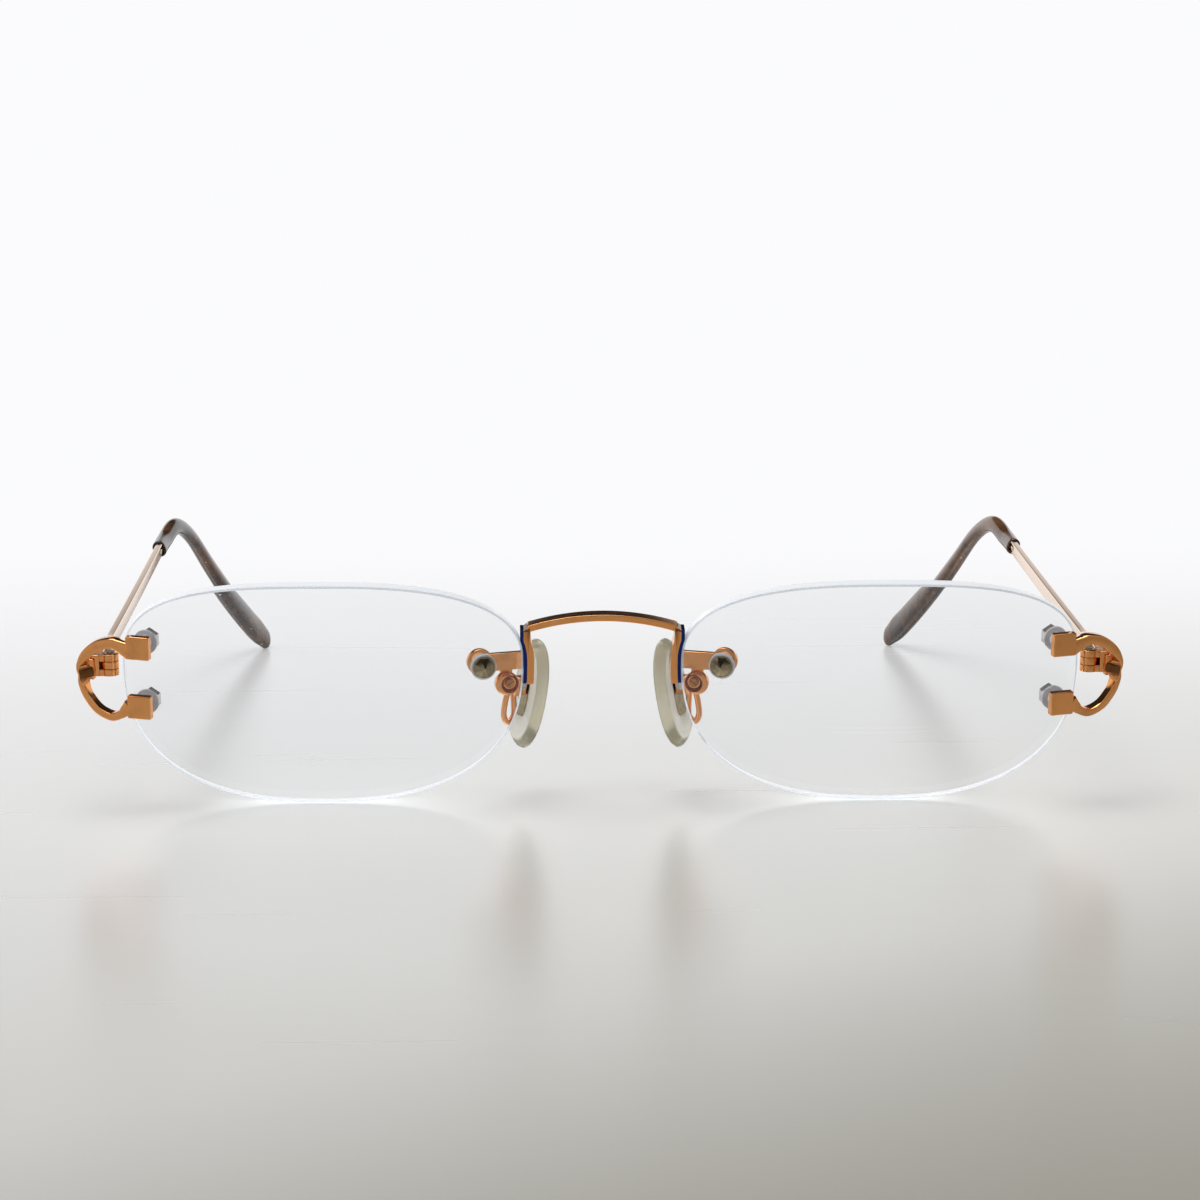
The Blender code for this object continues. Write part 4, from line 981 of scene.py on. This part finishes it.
class GLASSES_OT_add_hardware(GlassesOperator):
    """Add the clear sleeves, washers and nuts of the studs and the faceted nasal screws"""

    bl_idname = "glasses.add_hardware"
    bl_label = "Add Lens Hardware"

    def build(self, all_settings):
        half = all_settings.endpiece.spacing / 2
        hole = all_settings.lens.hole_radius - BORE_GAP
        bore = STUD_RADIUS + BORE_GAP
        flange = STUD_SEAT + FLANGE_THICKNESS
        sleeve = [
            (bore, SEAT),
            (hole, SEAT),
            (hole, STUD_SEAT),
            (FLANGE_RADIUS, STUD_SEAT),
            (FLANGE_RADIUS, flange),
            (bore, flange),
        ]
        washer = flange + SEAT
        washer_end = washer + WASHER_THICKNESS
        for level, height in (("upper", half), ("lower", -half)):
            for piece, solid, shape, look in (
                ("sleeve", "bush", turned(sleeve, 0.06 * MM), clear_nylon),
                ("ring", "washer", ring(bore, WASHER_RADIUS, washer, washer_end, 0.05 * MM), ground_steel),
                ("hex_nut", "nut", self.nut(washer_end + SEAT, bore), ground_steel),
            ):
                name, replaced = f"{level}_stud_{piece}", [f"{level}_stud_{solid}"]
                add_pair(name, moved(shape, (0, 0, height)), "fork", "front", look, replaced)
        self.nasal_screw(hole, bore)

    def nut(self, start, bore):
        """A hexagon nut with eased corners and a countersunk thread hole."""
        end = start + NUT_HEIGHT
        half_flat = 1.3 * MM
        corner = half_flat / math.cos(math.pi / 6)
        prism = cone(6, corner, corner, NUT_HEIGHT, 0.09 * MM)
        moved(prism, Matrix.Translation((0, start + NUT_HEIGHT / 2, 0)) @ Z_TO_Y)
        past = end + 0.1 * MM
        profile = [
            (0, start - MM),
            (bore, start - MM),
            (bore, end - 0.15 * MM),
            (bore + 0.25 * MM, past),
            (0, past),
        ]
        return carved(prism, turned(profile, 0.01 * MM, 32))

    def nasal_screw(self, hole, bore):
        """A screw from the front of the lens, with a flanged sleeve, a round rim and a faceted cone."""
        flange = FLANGE_RADIUS + 0.1 * MM
        flange_front = -LENS_SEAT - FLANGE_THICKNESS
        end = NASAL_SEAT - LENS_SEAT
        sleeve = [
            (bore, flange_front),
            (flange, flange_front),
            (flange, -LENS_SEAT),
            (hole, -LENS_SEAT),
            (hole, end),
            (bore, end),
        ]
        sleeve = turned(sleeve, 0.06 * MM)
        add_pair("nasal_sleeve", sleeve, "nasal", "front", clear_nylon, ["nasal_bush"])
        head, seat = 1.45 * MM, flange_front - SEAT
        rim = ring(0, head, seat, seat - 0.26 * MM, 0.05 * MM)
        shaft = ring(0, STUD_RADIUS, seat, NASAL_SEAT + ARM_THICKNESS + 0.35 * MM, 0.1 * MM, 32)
        rim = joined(rim, shaft)
        add_pair("nasal_screw_rim", rim, "nasal", "front", browned_bronze, ["nasal_screw"])
        facets = cone(8, head, 0.05 * MM, 0.8 * MM, 0.02 * MM)
        turn = Z_TO_Y @ Matrix.Rotation(math.radians(22.5), 4, "Z")
        moved(facets, Matrix.Translation((0, seat - 0.6 * MM, 0)) @ turn)
        add_pair("nasal_screw_facets", facets, "nasal", "front", browned_bronze, sharp=20)


class GLASSES_OT_add_bridge(GlassesOperator):
    """Add the arched bridge bar, its straps and the arms that reach the nasal screws"""

    bl_idname = "glasses.add_bridge"
    bl_label = "Add Bridge"

    def build(self, all_settings):
        sizes = all_settings.bridge
        edge = all_settings.lens.gap / 2
        nose = edge - sizes.strap_reach
        depth = (frames()["front"].inverted() @ frames()["nasal"]).translation.y
        front, rear = depth + 0.91 * MM, depth + 3.914 * MM
        into_strap = 0.6 * MM
        self.bar(sizes, nose + into_strap, front)

        tall = sizes.strap_top - 0.3 * MM - sizes.strap_bottom
        heights = [sizes.strap_bottom + tall * i / 30 for i in range(31)]
        most = edge + 0.4 * MM
        lens_side = [(min(lens_centre() + nasal_edge_x(z) - LENS_SEAT, most), z) for z in heights]
        strap = self.strap(lens_side, sizes.strap_top, front, rear)
        to_nasal = frames()["nasal"].inverted() @ frames()["front"]
        reach = (to_nasal @ Vector(((nose + lens_side[0][0]) / 2, rear, NASAL_HEIGHT))).x
        near, far = NASAL_SEAT, NASAL_SEAT + ARM_THICKNESS
        drop, half = -0.2 * MM, sizes.arm_height / 2
        arm = block((reach, near, drop - half), (0, far, drop + half), 0.12 * MM)
        eyelet = ring(STUD_RADIUS + BORE_GAP, 1.7 * MM, near, far, 0.1 * MM)
        side = joined(strap, moved(joined(arm, eyelet), to_nasal.inverted()))
        add_pair("bridge_side", side, "front", "front", rose_gold_plating, ["bridge_strap"], sharp=34)

    def strap(self, lens_side, top, front, rear):
        """An upright strap, with painted shade on its upper end and a painted dark-blue reflection on a
        rebate along the lens.
        """
        width, rebate = 1.36 * MM, 0.45 * MM
        nose_side = [(x - width, z) for x, z in reversed(lens_side)]
        corner = (nose_side[0][0], top + BAR_ABOVE_STRAP)
        outline = [(x - rebate, z) for x, z in lens_side] + [corner] + nose_side
        # The upper end is marked for painted shade
        strap = marked(plate(outline, front, rear, 0.1 * MM, 3), "shade", 0.95, top - 0.5 * MM)
        # A rebate along the lens, marked for a painted dark-blue reflection
        behind = [(x - rebate * 1.4, z) for x, z in reversed(lens_side)]
        painted_blue_band = plate(lens_side + behind, front + 0.3 * MM, rear, 0.05 * MM)
        return joined(strap, marked(painted_blue_band, "blueing", 1))

    def bar(self, sizes, half, front):
        """A flat bar arched between the straps: a section carried along the arc."""
        y = front + sizes.depth / 2
        crown = sizes.strap_top + BAR_ABOVE_STRAP - sizes.thickness / 2 + sizes.rise
        radius = (half**2 + sizes.rise**2) / (2 * sizes.rise)
        sweep = math.asin(half / radius)
        section = rounded(sizes.thickness / 2, sizes.depth / 2, 0.1 * MM)
        steps = 64
        rings = []
        for i in range(steps + 1):
            angle = sweep * (2 * i / steps - 1)
            x, up = radius * math.sin(angle), Vector((math.sin(angle), 0, math.cos(angle)))
            if i in (0, steps):
                x, up = math.copysign(half, angle), Vector((0, 0, 1))
            centre = Vector((x, y, crown - radius * (1 - math.cos(angle))))
            rings.append([centre + up * p.x + Vector((0, p.y, 0)) for p in section])
        bar = moved(skinned(rings), frames()["front"])
        add_piece("bridge_bar_arched", bar, "front", rose_gold_plating, ["bridge_bar"], sharp=34)


class GLASSES_OT_add_hinges(GlassesOperator):
    """Add the hinge blocks, knuckles and leaves"""

    bl_idname = "glasses.add_hinges"
    bl_label = "Add Hinges"

    def build(self, all_settings):
        radius, bore = 1.15 * MM, 0.44 * MM
        top, opening, easing = 1.425 * MM, 0.525 * MM, 0.14 * MM
        front = [block((1.25 * MM, -radius, -top), (2.7 * MM, 0.85 * MM, top), easing)]
        for low, high in ((opening, top), (-top, -opening)):
            front.append(self.knuckle(radius, bore, low, high))
            front.append(block((0.5 * MM, -0.92 * MM, low), (1.5 * MM, 0.68 * MM, high), 0.04 * MM, 2))
        base = block(Vector((6.7, 0.45, -1.2)) * MM, Vector((8.6, 1.32, 1.5)) * MM, easing)
        front.append(moved(base, frames()["hinge"].inverted() @ frames()["fork"]))
        front = joined(*front)
        add_pair("hinge_block", front, "hinge", "front", rose_gold_plating, ["front_hinge_leaf"], sharp=34)

        outer = 0.88 * MM
        start, half, height = radius + 0.08 * MM, 0.475 * MM, 0.95 * MM
        leaf = [
            block((outer - 0.7 * MM, start, -height), (outer, start + 6.2 * MM, height), 0.13 * MM),
            self.knuckle(radius, bore, -half, half),
            block((outer - MM, 0.5 * MM, -half), (outer, start + 0.5 * MM, half), 0.04 * MM, 2),
        ]
        sideways = Matrix.Rotation(math.radians(-90), 4, "Z")
        for along in (2.6 * MM, 5.6 * MM):
            rivet = ring(0, 0.42 * MM, 0, -0.16 * MM, 0.07 * MM, 28)
            leaf.append(moved(rivet, Matrix.Translation((outer - 0.68 * MM, along, 0)) @ sideways))
        leaf = joined(*leaf)
        add_pair("hinge_tongue", leaf, "hinge", "temple", rose_gold_plating, ["temple_hinge_leaf"], sharp=34)

    def knuckle(self, radius, bore, low, high):
        return moved(ring(bore, radius, low, high, 0.06 * MM, 48), Z_TO_Y)


class GLASSES_OT_add_temples(GlassesOperator):
    """Add the temple bars with their thicker front blocks"""

    bl_idname = "glasses.add_temples"
    bl_label = "Add Temples"

    def build(self, all_settings):
        sizes = all_settings.temple
        start = 0.89 * MM
        butt_end = start + sizes.butt_length
        slim = butt_end + 4 * MM

        def section(y, thickness, height, fullness=1.0):
            """A section at a distance from the hinge. The bar bows inward behind its butt."""
            part = max(0.0, (y - butt_end) / (sizes.length - butt_end))
            x = TEMPLE_FACE + thickness / 2 - TEMPLE_BOW * math.sin(math.radians(90 * part))
            outline = rounded(thickness * fullness / 2, height * fullness / 2, 0.18 * MM)
            return [Vector((x + across, y, up)) for across, up in outline]

        butt = (sizes.butt_thickness, sizes.butt_height)
        rings = [
            section(start, *butt, fullness=0.7),
            section(start + 0.12 * MM, *butt),
            section(butt_end, *butt),
        ]
        for i in range(1, 9):
            part = i / 8
            ease = smooth(part)
            thickness = sizes.butt_thickness + (sizes.bar_thickness - sizes.butt_thickness) * ease
            height = sizes.butt_height + (sizes.bar_height - sizes.butt_height) * ease
            rings.append(section(butt_end + (slim - butt_end) * part, thickness, height))
        for i in range(1, 31):
            part = i / 30
            thickness = sizes.bar_thickness - 0.05 * MM * part
            height = sizes.bar_height - 0.2 * MM * part
            rings.append(section(slim + (sizes.length - slim) * part, thickness, height))
        tang = ring(0, 0.6 * MM, sizes.length - 2 * MM, sizes.length + 12 * MM, 0.1 * MM, 24)
        # The whole bar is marked for a painted pale sheen
        bar = marked(joined(skinned(rings), moved(tang, (tip_x(), 0, 0))), "champagne", 0.85)
        add_pair("temple_bar", bar, "hinge", "temple", rose_gold_plating, ["temple"], sharp=34)


def tip_x():
    """Where the middle of the bar's end stands, beside the hinge's axis."""
    return TEMPLE_FACE + 0.475 * MM - TEMPLE_BOW


class GLASSES_OT_add_ear_tips(GlassesOperator):
    """Add the bent acetate ear tips"""

    bl_idname = "glasses.add_ear_tips"
    bl_label = "Add Ear Tips"

    def build(self, all_settings):
        row = smooth_row(TIP_LINE, 12)
        origin = Vector((tip_x(), all_settings.temple.length + SEAT, 0))
        lean = math.radians(25)
        leaning = Vector((math.sin(lean), 0, math.cos(lean)))
        rings = []
        for i, here in enumerate(row):
            before, after = row[max(i - 1, 0)], row[min(i + 1, len(row) - 1)]
            along = Vector(after[:3]) - Vector(before[:3])
            across = along.cross(leaning).normalized()
            upward = across.cross(along).normalized()
            centre = origin + Vector(here[:3]) * MM
            section = oval(here[3] * MM, here[4] * MM, 2.3, 48)
            rings.append([centre + across * x + upward * z for x, z in section])
        mouth = []
        for scale, offset in ((0.66, 0.5), (0.7, 0.08), (0.78, 0.0), (0.92, 0.03), (1.0, 0.16)):
            mouth.append(shrunk(rings[0], origin, scale, Vector((0, offset * MM, 0))))
        end = origin + Vector(row[-1][:3]) * MM
        point = (Vector(row[-1][:3]) - Vector(row[-2][:3])).normalized() * 1.2 * MM
        nose = []
        for part in (0.2, 0.4, 0.6, 0.75, 0.87, 0.95):
            nose.append(shrunk(rings[-1], end, math.sqrt(1 - part**2), point * part))
        shape = skinned(mouth + rings[1:] + nose, None, end + point)
        add_pair("ear_tip_bent", shape, "hinge", "temple", marbled_acetate, ["ear_tip"], sharp=50, even=False)


class GLASSES_OT_add_pad_arms(GlassesOperator):
    """Add the bosses, the bent pad wires and the clevises that hold the pads"""

    bl_idname = "glasses.add_pad_arms"
    bl_label = "Add Pad Arms"

    def build(self, all_settings):
        rear = NASAL_SEAT + ARM_THICKNESS + SEAT
        tab_end = rear + 0.7 * MM
        front = tab_end - 1.5 * MM
        floor = front + 0.7 * MM
        recess = [
            (0, front - MM),
            (1.25 * MM, front - MM),
            (1.25 * MM, front - 0.1 * MM),
            (0.86 * MM, floor),
            (0, floor),
        ]
        recess = moved(turned(recess, 0.08 * MM, 48), (SCREW_SHIFT, 0, 0))
        boss = carved(ring(0, 1.55 * MM, front, tab_end, 0.42 * MM), recess)
        moved(boss, (BOSS_X, 0, BOSS_Z))
        tab_half = 0.8 * MM
        tab = block((BOSS_X - tab_half, rear, BOSS_Z), (BOSS_X + tab_half, tab_end, 0.375 * MM), 0.12 * MM)
        head = moved(joined(boss, tab), frames()["nasal"])

        to_front = frames()["front"]
        edge = Vector((all_settings.lens.gap / 2, (to_front.inverted() @ frames()["nasal"]).translation.y, 0))
        root = Vector((BOSS_X, rear, BOSS_Z)) + Vector((-0.23, 0.1, -1.1)) * MM
        bends = [(2.6, 4.41, -2.7), (2.8, 4.81, -4.6), (2.3, 5.31, -5.7), (1.55, 5.81, -4.8)]
        points = [frames()["nasal"] @ root] + [to_front @ (edge + Vector(p) * MM) for p in bends]
        points.append(frames()["pad"] @ Vector((0.95 * MM, 0, -0.81 * MM)))
        bent = wire(points, all_settings.pad.wire_radius, 12)
        clevis = moved(self.clevis(), frames()["pad"])
        whole = moved(joined(bent, head, clevis), to_front.inverted())
        add_pair("pad_wire", whole, "front", "front", rose_gold_plating, ["pad_arm"], sharp=36)
        self.boss_screw(floor)

    def boss_screw(self, seat):
        """A small slotted screw sunk in the boss, darkened with painted shade."""
        top, slot_half = seat - 0.38 * MM, 0.09 * MM
        screw = ring(0, 0.58 * MM, seat, top, 0.09 * MM, 40)
        slot = block((-MM, top - MM, -slot_half), (MM, top + 0.16 * MM, slot_half), 0.01 * MM, 1)
        screw = carved(screw, moved(slot, Matrix.Rotation(math.radians(35), 4, "Y")))
        # Marked for painted shade in the recess
        screw = marked(moved(screw, (BOSS_X + SCREW_SHIFT, 0, BOSS_Z)), "shade", 0.55)
        add_pair("pad_wire_screw", screw, "nasal", "front", rose_gold_plating, ["pad_arm_screw"])

    def clevis(self):
        """A channel open toward the pad, as a bent plate."""
        half, inner = 1.05 * MM, 0.55 * MM
        near, web, far = -0.75 * MM, 0.65 * MM, 1.15 * MM
        outline = [
            (near, half),
            (far, half),
            (far, -half),
            (near, -half),
            (near, -inner),
            (web, -inner),
            (web, inner),
            (near, inner),
        ]
        return moved(plate(outline, -1.2 * MM, 1.2 * MM, 0.09 * MM), Z_TO_Y)


class GLASSES_OT_add_nose_pads(GlassesOperator):
    """Add the soft silicone nose pads"""

    bl_idname = "glasses.add_nose_pads"
    bl_label = "Add Nose Pads"

    def build(self, all_settings):
        sizes = all_settings.pad
        sides = 96
        outline = oval(sizes.width / 2, sizes.length / 2, 2.25, sides)
        pocket = oval(1.34 * MM, 4.24 * MM, 4, sides)

        def ring_at(depth, points, across=1.0, up=1.0, drop=0.0):
            return [Vector((-sizes.back - depth, y * across, z * up - drop)) for y, z in points]

        rings = [
            ring_at(0.64 * MM, pocket),
            ring_at(0.1 * MM, pocket),
            ring_at(0, pocket, 1.06, 1.02),
            ring_at(0, outline, 0.74, 0.775, sizes.drop),
        ]
        clear_rings = len(rings) + 3
        layers = [(layer.x, layer.y) for layer in smooth_row([(d, s, 0) for d, s in PAD_LAYERS], 5)]
        for depth, part in layers + [(0.978, 0.34), (0.991, 0.22), (0.998, 0.1)]:
            rings.append(ring_at(depth * sizes.thickness, outline, part, part, sizes.drop))
        shades = [[int(row >= clear_rings)] * sides for row in range(len(rings))]
        shape = skinned(rings, None, Vector((-sizes.back - sizes.thickness, 0, -sizes.drop)), shades)
        pads = add_pair(
            "nose_pad_soft", shape, "pad", "pad", aged_silicone, ["nose_pad"], sharp=50, even=False
        )


class GLASSES_OT_finish_small_parts(GlassesOperator):
    """Give the screws, pins and pad cores that stay from the solids their finishes"""

    bl_idname = "glasses.finish_small_parts"
    bl_label = "Finish Small Parts"

    def build(self, all_settings):
        looks = {"hinge_screw": browned_bronze, "pad_core": browned_bronze, "pad_pin": ground_steel}
        for name, node in frame["nodes"].items():
            kind = name.split("_", 1)[1]
            if kind in looks:
                for place in node.material_slots:
                    place.material = looks[kind]()[0]


class GLASSES_OT_add_stage(GlassesOperator):
    """Add the table, the room, the lamps and the camera"""

    bl_idname = "glasses.add_stage"
    bl_label = "Add Stage"

    def build(self, all_settings):
        scene = bpy.context.scene
        scene.view_settings.view_transform = "Standard"
        stage = all_settings.stage
        self.table(stage)
        self.room(stage)
        self.lamp("overhead_lamp", (-0.25, 0.3, 1.2), (0.9, 0.6), stage.key_power)
        self.lamp("left_lamp", (-0.9, -0.2, 0.75), (0.5, 0.5), stage.side_power)
        self.camera(scene)

    def table(self, stage):
        """A brushed satin table, darkened by painted shade toward the camera and the near right corner, that
        glows white far behind the glasses.
        """
        bm = bmesh.new()
        bmesh.ops.create_grid(bm, x_segments=1, y_segments=1, size=4)
        mesh = bpy.data.meshes.new("table")
        bm.to_mesh(mesh)
        bm.free()
        table = bpy.data.objects.new("table", mesh)
        bpy.context.scene.collection.objects.link(table)
        made = bpy.data.materials.new("satin_table")
        graph = Graph(made)
        x, y = graph.axis(graph.place(), 0), graph.axis(graph.place(), 1)
        brushed = graph.noise(1.0, 2, 0.5, graph.stretched((9, 260, 1)))
        # Painted shade: the table grades from dark at the camera's side to white behind
        tones = [
            (0.1, stage.near_floor),
            (0.3, stage.front_floor),
            (0.5, stage.middle_floor),
            (0.7, stage.far_floor),
            (0.95, stage.background),
        ]
        across = (y - 0.8 * x + 0.375) / 0.75
        base = graph.add("ValToRGB", {"stops": tones}, across + (brushed - 0.5) * 0.006)
        surface = graph.principled(
            # Painted shade at the near right corner
            Base_Color=graph.mix((x - y).ramp(0.13, 0.28) * 0.75, base, stage.corner),
            Metallic=0.4,
            Roughness=0.26 + 0.02 * brushed,
            IOR=1.5,
        )
        glow = graph.add("Emission", {}, stage.background, 1.0)
        seen = graph.add("LightPath", out="Is Camera Ray")
        for kind in ("Is Glossy Ray", "Is Transmission Ray"):
            seen = seen.larger(graph.add("LightPath", out=kind))
        graph.close(graph.add("MixShader", {}, y.ramp(-0.05, 0.22) * seen, surface, glow))
        mesh.materials.append(made)

    def room(self, stage):
        """A white surround low down, dark above it, soft light overhead and a dimmer room in front."""
        world = bpy.data.worlds.new("studio")
        bpy.context.scene.world = world
        graph = Graph(world)
        direction = graph.add("TexCoord", out="Generated")
        behind = graph.axis(direction, 1).ramp(-0.5, 0.1)
        z = graph.axis(direction, 2)
        low = (stage.surround + (1.0 - stage.surround) * behind) * (1.0 - z.ramp(0.24, 0.38))
        lit = graph.add("Background", {}, stage.background, low + 0.03 + 1.1 * z.ramp(0.78, 0.9))
        white = graph.add("Background", {}, stage.background, 1.0)
        seen = graph.add("LightPath", out="Is Camera Ray")
        graph.close(graph.add("MixShader", {}, seen, lit, white), "OutputWorld")

    def lamp(self, name, place, size, power):
        data = bpy.data.lights.new(name, "AREA")
        data.shape = "RECTANGLE"
        data.size, data.size_y = size
        data.energy = power
        lamp = bpy.data.objects.new(name, data)
        lamp.location = place
        toward = Vector((0, 0, place[2] * 0.5)) - Vector(place)
        lamp.rotation_euler = toward.to_track_quat("-Z", "Y").to_euler()
        lamp.visible_camera = False
        lamp.visible_transmission = False
        bpy.context.scene.collection.objects.link(lamp)

    def camera(self, scene):
        """At the photograph's place, nearly level, with a long lens."""
        place = (-0.012013, -0.458196, 0.085133)
        pitch, yaw, roll = 0.14573, 0.02923, 0.00059
        data = bpy.data.cameras.new("camera")
        data.sensor_width = 36
        data.lens = 94.512
        data.clip_start = 0.01
        data.clip_end = 50
        camera = bpy.data.objects.new("camera", data)
        level = math.cos(pitch)
        forward = Vector((math.sin(yaw) * level, math.cos(yaw) * level, -math.sin(pitch)))
        sideways = Vector((math.cos(yaw), -math.sin(yaw), 0))
        upward = sideways.cross(forward)
        right = sideways * math.cos(roll) + upward * math.sin(roll)
        upright = upward * math.cos(roll) - sideways * math.sin(roll)
        turn = Matrix((right, upright, -forward)).transposed()
        camera.matrix_world = Matrix.Translation(place) @ turn.to_4x4()
        scene.collection.objects.link(camera)
        scene.camera = camera


STEPS = [
    GLASSES_OT_add_lenses,
    GLASSES_OT_add_endpieces,
    GLASSES_OT_add_hardware,
    GLASSES_OT_add_bridge,
    GLASSES_OT_add_hinges,
    GLASSES_OT_add_temples,
    GLASSES_OT_add_ear_tips,
    GLASSES_OT_add_pad_arms,
    GLASSES_OT_add_nose_pads,
    GLASSES_OT_finish_small_parts,
    GLASSES_OT_add_stage,
]


class GLASSES_PT_panel(bpy.types.Panel):
    """Lists the pieces of the glasses and their sizes"""

    bl_idname = "GLASSES_PT_panel"
    bl_label = "Reading Glasses"
    bl_space_type = "VIEW_3D"
    bl_region_type = "UI"
    bl_category = "Glasses"

    def draw(self, context):
        for step in STEPS:
            self.layout.operator(step.bl_idname)
        for group in GlassesSettings.__annotations__:
            column = self.layout.column(align=True)
            values = getattr(context.scene.reading_glasses, group)
            for key in values.__annotations__:
                column.prop(values, key)


GROUPS = [
    LensSizes,
    EndpieceSizes,
    BridgeSizes,
    PadSizes,
    TempleSizes,
    Finishes,
    StageSettings,
    GlassesSettings,
]


def register():
    for item in GROUPS + STEPS + [GLASSES_PT_panel]:
        bpy.utils.register_class(item)
    bpy.types.Scene.reading_glasses = PointerProperty(type=GlassesSettings)


def unregister():
    del bpy.types.Scene.reading_glasses
    for item in reversed(GROUPS + STEPS + [GLASSES_PT_panel]):
        bpy.utils.unregister_class(item)


def main():
    register()
    for step in STEPS:
        group, name = step.bl_idname.split(".")
        getattr(getattr(bpy.ops, group), name)()


if __name__ == "__main__":
    main()
